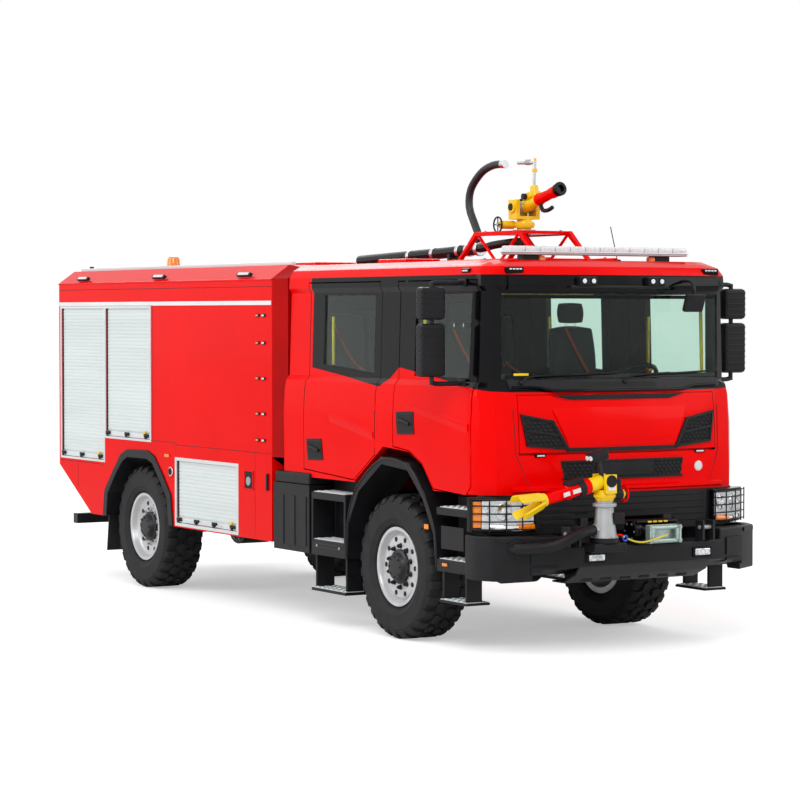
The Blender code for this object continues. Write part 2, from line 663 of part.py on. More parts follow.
def front_end():
    bumper = prism(mirrored(BUMPER_PLAN), "z", BUMPER_LOW, BUMPER_TOP)
    cut(bumper, box((1.0, RAIL_FRONT), (-1.19, 1.19), (0.5, 1.1)))
    cut(bumper, box((1.50, 2.0), (-0.72, 0.72), (TRAY_TOP, 1.1)))
    scoop = ((1.0, 0.5), (2.0, 0.5), (2.0, 0.74), (1.62, 0.66), (1.50, BUMPER_LOW - 0.001),
             (1.0, BUMPER_LOW - 0.001))
    cut(bumper, prism(scoop, "y", -0.98, 0.98))
    tray = box((1.60, 1.99), (MONITOR_Y - 0.15, MONITOR_Y + 0.15), (TRAY_TOP - 0.04, TRAY_TOP + 0.03))
    node("front_bumper", union(bumper, tray), "black_plastic")

    outline = mirrored(((1.24, 1.18), (1.34, 1.18), (1.47, 0.98), (1.51, 0.82), (1.53, 0.40)))
    fascia = prism(outline, "z", BUMPER_TOP + GAP, CAB_LOW - GAP)
    cut(fascia, box((1.0, 1.36), (-1.06, 1.06), (0.5, 1.5)))
    cut(fascia, box((1.0, 1.70), (-RAIL_OUT - GAP, RAIL_OUT + GAP), (0.5, RAIL_TOP + GAP)))
    ties = [side_box(side, (1.28, 1.38), (RAIL_IN, RAIL_OUT), (RAIL_TOP + GAP, CAB_LOW - 0.02))
            for _, side in SIDES]
    node("front_fascia", union(fascia, *ties), "black_plastic")

    for name, side in SIDES:
        outline = [(x, side * y) for x, y in ((1.3403, 1.1803), (1.4703, 0.9803), (1.5103, 0.83), (1.58, 0.83),
                                              (1.55, 1.00), (1.44, 1.22), (1.34, 1.31), (1.27, 1.31),
                                              (1.27, 1.1803))]
        lamp = prism(outline, "z", BUMPER_TOP + 0.02, 1.23)
        node(f"{name}_headlamp", lamp, "lamp_glass")

    floor = TRAY_TOP + GAP
    base = box((1.66, 1.90), (-0.14, 0.29), (floor, 0.89))
    drum = rod((1.79, -0.13, 0.955), (1.79, 0.28, 0.955), 0.065, 16)
    ends = [box((1.70, 1.88), span, (0.87, 1.04)) for span in ((-0.14, -0.06), (0.21, 0.29))]
    fairlead = box((1.90, 1.935), (-0.03, 0.20), (0.87, 1.0))
    node("winch", union(base, drum, *ends, fairlead), "dark_steel")


def lean(body, pivot, axis, angle):
    """Turns a body about an axis through a point."""
    place = Matrix.Translation(pivot)
    body.data.transform(place @ Matrix.Rotation(angle, 4, axis) @ place.inverted())
    return body


def bumper_monitor():
    x, y, z = MONITOR_X, MONITOR_Y, MONITOR_PIVOT
    foot = rod((x, y, TRAY_TOP + 0.03 + GAP), (x, y, 0.93), 0.11, 20)
    column = turned(((0, 0), (0, 0.095), (0.16, 0.075), (0.29, 0.065), (0.29, 0)), (x, y, 0.92), "z", 20)
    corner, shoulder = Vector(BUMPER_PLAN[3]), Vector(BUMPER_PLAN[4])
    along = (shoulder - corner).normalized()
    out = Vector((-along.y, -along.x, 0))
    start = corner.lerp(shoulder, 0.60)
    start = Vector((start.x, -start.y, 0.85))
    pipe = tube((start + out * 0.01, start + out * 0.08, (1.88, -0.90, 0.88), (1.93, -0.72, 0.96),
                 (x, y - 0.05, 1.0)), 0.042)
    flange = rod(start + out * GAP, start + out * 0.035, 0.07)
    supply = union(foot, column, pipe, flange)
    node("bumper_monitor_pipe", supply, "silver")

    base = rod((x, y, 1.21 + GAP), (x, y, 1.29), 0.07, 20)
    cheeks = [box((x + a, x + b), (y - 0.05, y + 0.05), (1.27, z + 0.05))
              for a, b in ((-0.09, -0.06), (0.06, 0.09))]
    plate = box((x - 0.09, x + 0.09), (y - 0.05, y + 0.05), (1.265, 1.292))
    gear = rod((x, y, 1.255), (x, y + 0.17, 1.255), 0.035, 12)
    node("bumper_monitor_turret", union(base, plate, *cheeks, gear), "yellow", (x, y, 1.21))

    pivot = Vector((x, y, z))
    trunnion = rod((x - 0.06 + GAP, y, z), (x + 0.06 - GAP, y, z), 0.045)
    barrel = rod((x, y, z), (x, y - BARREL_L + 0.15, z), 0.042)
    nozzle = rod((x, y - BARREL_L + 0.30, z), (x, y - BARREL_L, z), 0.06)
    blade = rod((x, y - BARREL_L + 0.16, z), (x, y - BARREL_L - 0.02, z), 0.075, 12)
    lamp = box((x - 0.05, x + 0.05), (y - 0.10, y + 0.06), (z + 0.16, z + 0.24))
    neck = box((x - 0.015, x + 0.015), (y - 0.04, y), (z + 0.03, z + 0.17))
    barrel = union(barrel, trunnion, nozzle, blade, neck, lamp)
    node("bumper_monitor_barrel", lean(barrel, pivot, "X", -MONITOR_REST), "red_paint", pivot)


# ---------------------------------------------------------------- roof


def roof():
    deck = CAB_LEVELS[-1][0]
    sides = []
    for _, side in SIDES:
        outer = ((-0.56, deck + GAP), (-0.26, ROOF_DECK), (0.42, ROOF_DECK), (0.72, deck + GAP))
        inner = ((-0.49, deck + 0.03), (-0.235, ROOF_DECK - 0.035), (0.395, ROOF_DECK - 0.035),
                 (0.65, deck + 0.03))
        frame = side_prism(side, outer, 0.22, 0.26)
        sides.append(cut(frame, side_prism(side, inner, 0.1, 0.4)))
    plate = box((-0.24, 0.40), (-0.26, 0.26), (ROOF_DECK - 0.025, ROOF_DECK))
    node("roof_monitor_stand", union(*sides, plate), "red_paint")

    pipe = tube(((-2.60, 0, BODY_TOP + 0.055), (-2.2, 0, 3.115), (-1.7, 0, 3.13), (-1.1, 0, 3.15),
                 (-0.60, 0, 3.17)), 0.05, 10, 0.2)
    riser = tube(((-0.62, 0, 3.17), (-0.50, 0, 3.18), (-0.35, 0, 3.20), (-0.10, 0, 3.215),
                  (ROOF_AXIS_X, 0, 3.22)), 0.035)
    foot = rod((-2.45, 0, BODY_TOP + GAP), (-2.45, 0, 3.10), 0.03, 10)
    rise = rod((ROOF_AXIS_X, 0, 3.19), (ROOF_AXIS_X, 0, ROOF_DECK - 0.025 - GAP), 0.035)
    spigot = rod((-0.60, 0, 3.19), (-0.60, 0, 3.25), 0.03, 12)
    node("roof_pipe", union(pipe, riser, foot, rise, spigot), "black_plastic")

    hose = tube(((-0.60, 0, 3.25 + GAP), (-0.60, 0, 3.29), (-0.665, 0, 3.39), (-0.745, 0, 3.53),
                 (-0.72, 0, 3.68), (-0.56, 0, 3.81), (-0.38, 0, 3.865), (-0.19, 0, 3.87)), 0.033)
    node("roof_hose", hose, "rubber")

    x, z = ROOF_AXIS_X, ROOF_PIVOT
    base = rod((x, 0, ROOF_DECK + GAP), (x, 0, 3.42), 0.06, 20)
    plate = box((x - 0.06, x + 0.06), (-0.115, 0.115), (3.40, 3.425))
    cheeks = [box((x - 0.06, x + 0.06), span, (3.41, z + 0.06)) for span in ((-0.115, -0.08), (0.08, 0.115))]
    node("roof_monitor_turret", union(base, plate, *cheeks), "yellow", (x, 0, ROOF_DECK))
    pivot = Vector((x, 0, z))
    trunnion = rod((x, -0.08 + GAP, z), (x, 0.08 - GAP, z), 0.05)
    barrel = rod((x, 0, z), (x + ROOF_BARREL_L, 0, z), 0.045)
    valve = rod((x + 0.18, 0, z), (x + 0.18, 0, z + 0.13), 0.035)
    barrel = union(barrel, trunnion, valve)
    lean(barrel, pivot, "Y", -ROOF_REST)
    top = pivot + Matrix.Rotation(-ROOF_REST, 3, "Y") @ Vector((0.18, 0, 0.12))
    stem = rod(top, (top.x + 0.01, 0, 3.87), 0.016, 10)
    inlet = rod((top.x + 0.015, 0, 3.86), (x - 0.10, 0, 3.87), 0.018, 10)
    node("roof_monitor_barrel", union(barrel, stem, inlet), "red_paint", pivot)

    bar = box((1.06, 1.20), (-0.86, 0.86), (3.08, 3.15))
    feet = [side_box(side, (1.10, 1.16), (0.45, 0.55), (deck + GAP, 3.09)) for _, side in SIDES]
    node("light_bar", union(bar, *feet), "lamp_glass")


def mirrors():
    for name, side in SIDES:
        upper = side_box(side, (0.94, 1.06), (1.34, 1.56), (2.58, 2.83))
        lower = side_box(side, (0.94, 1.06), (1.34, 1.56), (2.14, 2.55))
        post = side_box(side, (0.98, 1.02), (1.42, 1.46), (2.10, 2.88))
        # the door leans in above its ledge, so the arms start where the panel is
        arms = []
        for z in (2.07, 2.845):
            skin = level_at(z)[1]
            arms.append(side_box(side, (0.98, 1.05), (skin + GAP, 1.46), (z, z + 0.035)))
        node(f"{name}_mirror", union(upper, lower, post, *arms), "black_plastic",
             (FRONT_HINGE_X, side * FRONT_HINGE_Y, FLOOR_LOW))


# ---------------------------------------------------------------- the truck

FRONT_END = 1.99
REAR_END = BODY_REAR
clear_scene()
FRAME = bpy.data.objects.new("frame", None)
bpy.context.scene.collection.objects.link(FRAME)
FRAME.location = (-(FRONT_END + REAR_END) / 2, 0, 0)
for part in (frame_and_powertrain, axles, wheels, cab, doors, cab_inside, low_sides, equipment_body,
             front_end, bumper_monitor, roof, mirrors):
    part()
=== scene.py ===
"""Looks of the airport fire truck: finishes, wheels, shutters, grilles, lamps, monitors, glass and seats.

Metres. Places are written as in the CAD, with lengths along X counted from the front axle;
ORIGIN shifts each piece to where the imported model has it.
"""

import json
import math

import bmesh
import bpy
from mathutils import Matrix, Vector
from mathutils.bvhtree import BVHTree

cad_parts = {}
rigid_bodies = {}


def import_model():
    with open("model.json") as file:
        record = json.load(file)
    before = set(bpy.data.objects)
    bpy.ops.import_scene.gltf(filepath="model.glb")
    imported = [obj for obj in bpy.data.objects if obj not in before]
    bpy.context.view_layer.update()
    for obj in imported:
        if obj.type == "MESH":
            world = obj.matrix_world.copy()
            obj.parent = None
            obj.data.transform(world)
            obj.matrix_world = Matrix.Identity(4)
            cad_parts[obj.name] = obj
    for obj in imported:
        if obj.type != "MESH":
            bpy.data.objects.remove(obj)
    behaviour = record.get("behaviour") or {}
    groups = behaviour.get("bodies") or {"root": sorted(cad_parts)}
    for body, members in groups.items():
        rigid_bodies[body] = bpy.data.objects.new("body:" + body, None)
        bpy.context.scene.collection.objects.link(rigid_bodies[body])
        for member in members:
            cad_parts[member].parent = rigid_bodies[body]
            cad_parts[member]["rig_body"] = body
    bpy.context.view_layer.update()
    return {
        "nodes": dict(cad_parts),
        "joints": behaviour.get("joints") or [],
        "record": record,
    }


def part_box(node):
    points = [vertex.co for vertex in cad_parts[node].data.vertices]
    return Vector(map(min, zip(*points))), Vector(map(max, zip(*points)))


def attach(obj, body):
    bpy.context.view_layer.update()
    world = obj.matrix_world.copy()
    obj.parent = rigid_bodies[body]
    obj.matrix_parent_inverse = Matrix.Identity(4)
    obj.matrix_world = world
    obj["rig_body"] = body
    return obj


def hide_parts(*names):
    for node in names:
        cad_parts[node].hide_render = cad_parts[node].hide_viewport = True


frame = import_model()
JOINTS = {joint["name"]: joint for joint in frame["joints"]}
ORIGIN = Vector((JOINTS["front_right_wheel_spin"]["pos_m"][0], 0, 0))
SLOT_OF = {row["node"]: row["material_slot"] for row in frame["record"]["subparts"]}
SIDES = (("right", -1), ("left", 1))


def span(node):
    """Lowest and highest corner of a CAD node, counted from the front axle."""
    low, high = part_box(node)
    return low - ORIGIN, high - ORIGIN


# ---------------------------------------------------------------- finishes


def link_noise(tree, scale, detail=4.0, stretch=(1, 1, 1)):
    """A noise texture in the piece's own metres."""
    place = tree.nodes.new("ShaderNodeTexCoord")
    mapping = tree.nodes.new("ShaderNodeMapping")
    mapping.inputs["Scale"].default_value = stretch
    noise = tree.nodes.new("ShaderNodeTexNoise")
    noise.inputs["Scale"].default_value = scale
    noise.inputs["Detail"].default_value = detail
    tree.links.new(place.outputs["Object"], mapping.inputs["Vector"])
    tree.links.new(mapping.outputs["Vector"], noise.inputs["Vector"])
    return noise


def finish(name, colour, rough, other=None, metallic=0.0, scale=6.0, grain=None, depth=0.15, vary=0.06,
           stretch=(1, 1, 1), **extra):
    """A Principled finish whose colour, roughness and relief vary over the surface."""
    made = bpy.data.materials.new(name)
    made.use_nodes = True
    tree = made.node_tree
    shader = tree.nodes["Principled BSDF"]
    other = other or tuple(c * 0.86 for c in colour)
    patches = link_noise(tree, scale, stretch=stretch)
    ramp = tree.nodes.new("ShaderNodeValToRGB")
    ramp.color_ramp.elements[0].position = 0.32
    ramp.color_ramp.elements[0].color = (*other, 1)
    ramp.color_ramp.elements[1].position = 0.62
    ramp.color_ramp.elements[1].color = (*colour, 1)
    tree.links.new(patches.outputs["Fac"], ramp.inputs["Fac"])
    tree.links.new(ramp.outputs["Color"], shader.inputs["Base Color"])
    spread = tree.nodes.new("ShaderNodeMapRange")
    spread.inputs["To Min"].default_value = max(0.02, rough - vary)
    spread.inputs["To Max"].default_value = min(1.0, rough + vary)
    tree.links.new(patches.outputs["Fac"], spread.inputs["Value"])
    tree.links.new(spread.outputs["Result"], shader.inputs["Roughness"])
    if grain:
        fine = link_noise(tree, grain, 2.0, stretch)
        bump = tree.nodes.new("ShaderNodeBump")
        bump.inputs["Strength"].default_value = depth
        bump.inputs["Distance"].default_value = 0.001
        tree.links.new(fine.outputs["Fac"], bump.inputs["Height"])
        tree.links.new(bump.outputs["Normal"], shader.inputs["Normal"])
    shader.inputs["Metallic"].default_value = metallic
    for socket, value in extra.items():
        shader.inputs[socket.replace("_", " ")].default_value = value
    return made


RED = finish("red_gloss", (0.84, 0.0, 0.0), 0.20, (0.78, 0.0, 0.0), scale=1.2, grain=160, depth=0.02,
             Coat_Weight=0.04, Coat_Roughness=0.03, Specular_IOR_Level=0.06)
# Half-bright red paint: painted shade on the body's front wall.
PAINTED_SHADE_RED = finish("red_shaded", (0.42, 0.0, 0.0), 0.3, (0.36, 0.0, 0.0), scale=2, grain=160, depth=0.02,
                  Specular_IOR_Level=0.15)
BLACK = finish("black_moulded", (0.010, 0.010, 0.012), 0.40, (0.006, 0.006, 0.007), grain=420, depth=0.35,
               Specular_IOR_Level=0.20)
GLOSS_BLACK = finish("black_gloss", (0.003, 0.003, 0.004), 0.10, (0.002, 0.002, 0.003), grain=90, depth=0.01,
                     Coat_Weight=0.05, Specular_IOR_Level=0.12)
STEEL = finish("chassis_black", (0.013, 0.013, 0.015), 0.42, (0.008, 0.008, 0.010), grain=220, depth=0.25,
               Specular_IOR_Level=0.35)
ALUMINIUM = finish("satin_aluminium", (0.74, 0.78, 0.79), 0.38, (0.66, 0.70, 0.71), metallic=0.25, grain=350,
                   depth=0.06, stretch=(0.05, 1, 1))
SLAT = finish("shutter_slat", (0.70, 0.76, 0.76), 0.40, (0.64, 0.70, 0.70), metallic=0.15, grain=350,
              depth=0.05, stretch=(0.05, 1, 1))
SILVER = finish("silver_paint", (0.60, 0.61, 0.62), 0.34, (0.50, 0.51, 0.52), metallic=0.3, grain=180,
                depth=0.08)
CAST = finish("cast_alloy", (0.42, 0.43, 0.44), 0.42, (0.33, 0.34, 0.35), metallic=0.6, grain=260, depth=0.5)
CHROME = finish("bright_chrome", (0.80, 0.81, 0.82), 0.12, (0.72, 0.73, 0.74), metallic=1.0, grain=60,
                depth=0.02)
ZINC = finish("zinc_plate", (0.45, 0.55, 0.52), 0.36, (0.33, 0.42, 0.40), metallic=0.7, scale=30, grain=240,
              depth=0.2)
RUBBER = finish("hose_rubber", (0.012, 0.012, 0.014), 0.50, (0.008, 0.008, 0.009), grain=300, depth=0.3)
TYRE = finish("tyre_rubber", (0.017, 0.017, 0.019), 0.70, (0.009, 0.009, 0.010), scale=9, grain=260,
              depth=0.5, Specular_IOR_Level=0.3)
# Near-black for dark joints, and painted shade in recesses, holes, slots, wheel wells and behind grilles.
SHADE_AND_JOINT_DARK = finish("well_dark", (0.012, 0.012, 0.013), 0.9, (0.008, 0.008, 0.009), grain=120, depth=0.2)
CLOTH = finish("seat_weave", (0.050, 0.050, 0.060), 0.92, (0.026, 0.026, 0.032), scale=60, grain=900,
               depth=0.7, Sheen_Weight=0.3)
SEAM = finish("seat_seam", (0.014, 0.014, 0.016), 0.9, (0.010, 0.010, 0.011), grain=700, depth=0.4)
LINING = finish("cab_lining", (0.030, 0.032, 0.034), 0.75, (0.022, 0.024, 0.026), grain=380, depth=0.2,
                Specular_IOR_Level=0.2)
YELLOW = finish("yellow_paint", (0.90, 0.62, 0.0), 0.32, (0.82, 0.52, 0.0), grain=150, depth=0.1)
BELT = finish("belt_web", (0.75, 0.10, 0.02), 0.8, (0.60, 0.07, 0.015), grain=800, depth=0.6)
ROPE = finish("rope_fibre", (0.78, 0.62, 0.04), 0.75, (0.55, 0.42, 0.02), scale=140, grain=520, depth=0.9)
BLUE = finish("thimble_blue", (0.02, 0.10, 0.55), 0.4, (0.015, 0.08, 0.45), grain=200, depth=0.1)
AMBER = finish("amber_lens", (0.95, 0.26, 0.0), 0.14, (0.85, 0.20, 0.0), scale=40, grain=300, depth=0.3,
               Coat_Weight=0.5)
RED_LENS = finish("red_lens", (0.60, 0.0, 0.0), 0.14, (0.48, 0.0, 0.0), scale=40, grain=300, depth=0.3)
LENS = finish("clear_lens", (0.78, 0.82, 0.84), 0.10, (0.60, 0.65, 0.68), scale=45, grain=260, depth=0.5,
              Coat_Weight=0.6)
BOWL = finish("lamp_bowl", (0.85, 0.86, 0.88), 0.10, (0.35, 0.36, 0.38), metallic=0.9, scale=28, grain=90,
              depth=0.2)
MIRROR = finish("mirror_face", (0.80, 0.82, 0.84), 0.04, (0.76, 0.78, 0.80), metallic=1.0, scale=1)
LABEL = finish("blank_label", (0.72, 0.72, 0.72), 0.5, (0.66, 0.66, 0.66), grain=200, depth=0.1)
WHITE = finish("white_strip", (0.80, 0.80, 0.80), 0.4, (0.74, 0.74, 0.74), scale=3, grain=200, depth=0.05)


GLASS = finish("tinted_glass", (0.72, 0.87, 0.80), 0.03, (0.68, 0.83, 0.76), scale=1.5, vary=0.01,
               Transmission_Weight=1.0, IOR=1.25)
FINISH_OF_SLOT = {"red_paint": RED, "black_plastic": BLACK, "dark_steel": STEEL, "aluminium": ALUMINIUM,
                  "silver": SILVER, "rubber": RUBBER, "tyre": TYRE, "glass": GLASS, "seat_cloth": CLOTH,
                  "yellow": YELLOW, "lamp_glass": LENS}

# ---------------------------------------------------------------- shapes


def bevelled(bm, width, segments=2, angle=30):
    if width:
        sharp = [e for e in bm.edges if len(e.link_faces) == 2 and e.calc_face_angle(0) > math.radians(angle)]
        bmesh.ops.bevel(bm, geom=sharp, offset=width, segments=segments, profile=0.5, affect="EDGES",
                        clamp_overlap=True)
    return bm


def block(x, y, z, bevel=0.003):
    """A box from (low, high) pairs, with rounded edges."""
    bm = bmesh.new()
    bmesh.ops.create_cube(bm, size=1)
    for vert in bm.verts:
        vert.co = Vector([pair[0] if c < 0 else pair[1] for pair, c in zip((x, y, z), vert.co)])
    return bevelled(bm, bevel)


def side_block(side, x, y, z, bevel=0.003):
    return block(x, sorted((side * y[0], side * y[1])), z, bevel)


PLACE = {"x": lambda a, u, v: (a, u, v), "y": lambda a, u, v: (u, a, v), "z": lambda a, u, v: (u, v, a)}


def prism(outline, axis, low, high, bevel=0.002):
    bm = bmesh.new()
    rings = [[bm.verts.new(PLACE[axis](at, u, v)) for u, v in outline] for at in (low, high)]
    for ring in rings:
        bm.faces.new(ring)
    count = len(outline)
    for i in range(count):
        j = (i + 1) % count
        bm.faces.new((rings[0][i], rings[0][j], rings[1][j], rings[1][i]))
    bmesh.ops.recalc_face_normals(bm, faces=bm.faces)
    return bevelled(bm, bevel)


def pour(shape, into):
    """Adds one shape to another and lets it go."""
    mesh = bpy.data.meshes.new("part")
    shape.to_mesh(mesh)
    shape.free()
    into.from_mesh(mesh)
    bpy.data.meshes.remove(mesh)


def about(middle, half):
    return middle - half, middle + half


def oblong(u0, u1, v0, v1):
    """Corners of an upright rectangle: bottom left, right, top right, left."""
    return [(u0, v0), (u1, v0), (u1, v1), (u0, v1)]


def turn_about(point, angle, axis):
    return Matrix.Translation(point) @ Matrix.Rotation(angle, 4, axis) @ Matrix.Translation(-point)


def ring_of(count, radius, turn=0.0):
    """Places evenly round a circle, counted from its middle."""
    angles = (math.tau * (i + turn) / count for i in range(count))
    return [(radius * math.cos(a), radius * math.sin(a)) for a in angles]


def rod(start, end, radius, segments=20, bevel=0.0):
    """A round bar between two points."""
    start, end = Vector(start), Vector(end)
    way = end - start
    bm = bmesh.new()
    place = Matrix.Translation((start + end) / 2) @ way.to_track_quat("Z", "Y").to_matrix().to_4x4()
    bmesh.ops.create_cone(bm, cap_ends=True, segments=segments, radius1=radius, radius2=radius,
                          depth=way.length, matrix=place)
    return bevelled(bm, bevel, angle=50)


def peg(axis, ends, u, v, radius, segments=20, bevel=0.0):
    """A round bar along an axis."""
    return rod(*(PLACE[axis](end, u, v) for end in ends), radius, segments, bevel)


TURN = {"x": Matrix.Identity(3), "y": Matrix.Rotation(math.pi / 2, 3, "Z"),
        "z": Matrix.Rotation(-math.pi / 2, 3, "Y")}


def turned(profile, centre, axis, segments=32):
    """A closed profile of (distance along axis, radius), turned about an axis through centre."""
    bm = bmesh.new()
    rings = []
    for i in range(segments):
        angle = 2 * math.pi * i / segments
        rings.append([bm.verts.new(TURN[axis] @ Vector((a, r * math.cos(angle), r * math.sin(angle)))
                                   + Vector(centre)) for a, r in profile])
    count = len(profile)
    for here, there in zip(rings, rings[1:] + rings[:1]):
        for j in range(count):
            k = (j + 1) % count
            bm.faces.new((here[j], here[k], there[k], there[j]))
    bmesh.ops.remove_doubles(bm, verts=bm.verts, dist=1e-6)
    return bm


def smooth_route(points, step):
    """Points about step apart on a Catmull-Rom curve through these."""
    points = [Vector(p) for p in points]
    ends = [2 * points[0] - points[1], *points, 2 * points[-1] - points[-2]]
    route = []
    for a, b, c, d in zip(ends, ends[1:], ends[2:], ends[3:]):
        count = max(2, round((c - b).length / step))
        for i in range(count):
            t = i / count
            route.append(0.5 * (2 * b + (c - a) * t + (2 * a - 5 * b + 4 * c - d) * t * t
                                + (3 * b - a - 3 * c + d) * t ** 3))
    return [*route, points[-1]]


def tube(points, radius, sides=12, step=0.03):
    """A round tube along a smooth curve through the points."""
    route = smooth_route(points, step)
    bm = bmesh.new()
    rings = []
    across = None
    for i, point in enumerate(route):
        way = (route[min(i + 1, len(route) - 1)] - route[max(i - 1, 0)]).normalized()
        across = across or way.orthogonal()
        across = (across - way * across.dot(way)).normalized()
        up = way.cross(across)
        rings.append([bm.verts.new(point + radius * (across * math.cos(a) + up * math.sin(a)))
                      for a in (2 * math.pi * k / sides for k in range(sides))])
    bm.faces.new(rings[0])
    bm.faces.new(rings[-1])
    for here, there in zip(rings, rings[1:]):
        for i in range(sides):
            j = (i + 1) % sides
            bm.faces.new((here[i], here[j], there[j], there[i]))
    return bm


def ball(centre, radius, scale=(1, 1, 1)):
    bm = bmesh.new()
    place = Matrix.Translation(centre) @ Matrix.Diagonal((*scale, 1))
    bmesh.ops.create_uvsphere(bm, u_segments=20, v_segments=12, radius=radius, matrix=place)
    return bm


def nut(centre, way, radius, height):
    """A hexagon nut on its washer, standing on centre."""
    centre, way = Vector(centre), Vector(way)
    bm = rod(centre, centre + way * height, radius, 6, 0.0015)
    pour(rod(centre - way * 0.001, centre + way * 0.002, radius * 1.35, 16), bm)
    return bm


# ---------------------------------------------------------------- what lies on the panels

REACH = 12.0
VIEWS = {"front": (lambda u, v: Vector((REACH, u, v)), Vector((-1, 0, 0))),
         "right": (lambda u, v: Vector((u, -REACH, v)), Vector((0, 1, 0))),
         "left": (lambda u, v: Vector((u, REACH, v)), Vector((0, -1, 0)))}


def skin_of(*names):
    corners, faces = [], []
    for name in names:
        mesh = frame["nodes"][name].data
        first = len(corners)
        corners += [v.co - ORIGIN for v in mesh.vertices]
        faces += [[first + i for i in face.vertices] for face in mesh.polygons]
    return BVHTree.FromPolygons(corners, faces)


CAB_SKIN = skin_of("cab_shell", "front_lid", "windscreen", "right_front_door", "right_rear_door",
                   "left_front_door", "left_rear_door")
BUMPER_SKIN = skin_of("front_bumper", "front_fascia")


def drape(skin, view, u, v, lift):
    """The outermost point near (u, v) as that view sees it, bridging panel gaps, raised by lift."""
    start, way = VIEWS[view]
    near = REACH * 3
    for du, dv in ((0, 0), (0.012, 0), (-0.012, 0), (0, 0.012), (0, -0.012)):
        hit = skin.ray_cast(start(u + du, v + dv), way)
        if hit[0] is not None:
            near = min(near, hit[3])
    if near > REACH * 2:
        near = (skin.find_nearest(start(u, v) + way * REACH)[0] - start(u, v)).dot(way)
    return start(u, v) + way * (near - lift)


def patch(skin, view, corners, lift, across=8, up=4, sunk=0.004, profile=None):
    """A thin closed panel that follows the skin inside four corners: bottom left, right, top right, left.
    profile(t) scales the lift from its bottom edge, 0, to its top edge, 1."""
    a, b, c, d = (Vector(corner) for corner in corners)
    bm = bmesh.new()
    sheets = []
    for level in (lift, -sunk):
        rows = []
        for j in range(up + 1):
            t = j / up
            high = level if level < 0 or profile is None else level * profile(t)
            row = []
            for i in range(across + 1):
                s = i / across
                spot = (a.lerp(b, s)).lerp(d.lerp(c, s), t)
                row.append(bm.verts.new(drape(skin, view, spot.x, spot.y, high)))
            rows.append(row)
        sheets.append(rows)
    for rows in sheets:
        for low, high in zip(rows, rows[1:]):
            for i in range(across):
                bm.faces.new((low[i], low[i + 1], high[i + 1], high[i]))
    outer, inner = sheets
    rims = [([r[0] for r in rows], [r[-1] for r in rows], rows[0], rows[-1]) for rows in (outer, inner)]
    for top, under in zip(*rims):
        for i in range(len(top) - 1):
            bm.faces.new((top[i], top[i + 1], under[i + 1], under[i]))
    bmesh.ops.recalc_face_normals(bm, faces=bm.faces)
    return bm


def inside(point, corners):
    """Whether a flat point lies in a convex outline."""
    signs = [(b - a).cross(point - a) > 0 for a, b in zip(corners, corners[1:] + corners[:1])]
    return all(signs) or not any(signs)


def on_cab(corners, lift, *more):
    """A patch on the front of the cab."""
    return patch(CAB_SKIN, "front", corners, lift, *more)


def cab_point(y, z, lift):
    return drape(CAB_SKIN, "front", y, z, lift)


CELL = 0.036
CELL_LIFT = 0.008
CELL_WIRE = 0.0035


def honeycomb(work, corners):
    """Six-sided mesh of thin wires over the front of the cab, inside four corners."""
    corners = [Vector(c) for c in corners]
    low = Vector((min(c.x for c in corners), min(c.y for c in corners)))
    high = Vector((max(c.x for c in corners), max(c.y for c in corners)))
    seen = set()
    rows = int((high.y - low.y) / (CELL * 0.75)) + 2
    columns = int((high.x - low.x) / (CELL * 1.2)) + 2
    for j in range(rows):
        for i in range(columns):
            centre = low + Vector(((i + 0.5 * (j % 2)) * CELL * 1.2, j * CELL * 0.75))
            ring = [centre + Vector((CELL * 0.6 * x, CELL * 0.5 * y)) for x, y in
                    ((0, 1), (1, 0.5), (1, -0.5), (0, -1), (-1, -0.5), (-1, 0.5))]
            for p, q in zip(ring, ring[1:] + ring[:1]):
                key = tuple(sorted(((round(p.x, 3), round(p.y, 3)), (round(q.x, 3), round(q.y, 3)))))
                if key in seen or not (inside(p, corners) and inside(q, corners)):
                    continue
                seen.add(key)
                ends = [cab_point(r.x, r.y, CELL_LIFT) for r in (p, q)]
                work.take(rod(*ends, CELL_WIRE, 6), BLACK)


# ---------------------------------------------------------------- pieces


class Work:
    """Collects shapes of several finishes into one piece."""

    def __init__(self):
        self.bm = bmesh.new()
        self.finishes = []

    def take(self, part, finish_, place=None):
        if place is not None:
            bmesh.ops.transform(part, matrix=place, verts=part.verts)
        bmesh.ops.recalc_face_normals(part, faces=part.faces)
        if finish_ not in self.finishes:
            self.finishes.append(finish_)
        index = self.finishes.index(finish_)
        for face in part.faces:
            face.material_index = index
        pour(part, self.bm)
        return self

    def piece(self, name, body="truck", slot=None, replaces=(), angle=35):
        mesh = bpy.data.meshes.new(name)
        self.bm.to_mesh(mesh)
        self.bm.free()
        for finish_ in self.finishes:
            mesh.materials.append(finish_)
        mesh.shade_smooth()
        mesh.set_sharp_from_angle(angle=math.radians(angle))
        made = bpy.data.objects.new(name, mesh)
        bpy.context.scene.collection.objects.link(made)
        made.location = ORIGIN
        normals = made.modifiers.new("normals", "WEIGHTED_NORMAL")
        normals.keep_sharp = True
        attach(made, body)
        if replaces:
            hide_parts(*replaces)
        return made


def curve_along(name, route, wide, resolution, finish_):
    """A curve of round section through the points, and its length."""
    curve = bpy.data.curves.new(name, "CURVE")
    curve.dimensions = "3D"
    curve.bevel_depth = wide / 2
    curve.bevel_resolution = resolution
    curve.use_fill_caps = True
    line = curve.splines.new("POLY")
    line.points.add(len(route) - 1)
    for point, spot in zip(line.points, route):
        point.co = (*spot, 1)
    curve.materials.append(finish_)
    made = bpy.data.objects.new(name, curve)
    bpy.context.scene.collection.objects.link(made)
    made.location = ORIGIN
    return made, sum((b - a).length for a, b in zip(route, route[1:]))


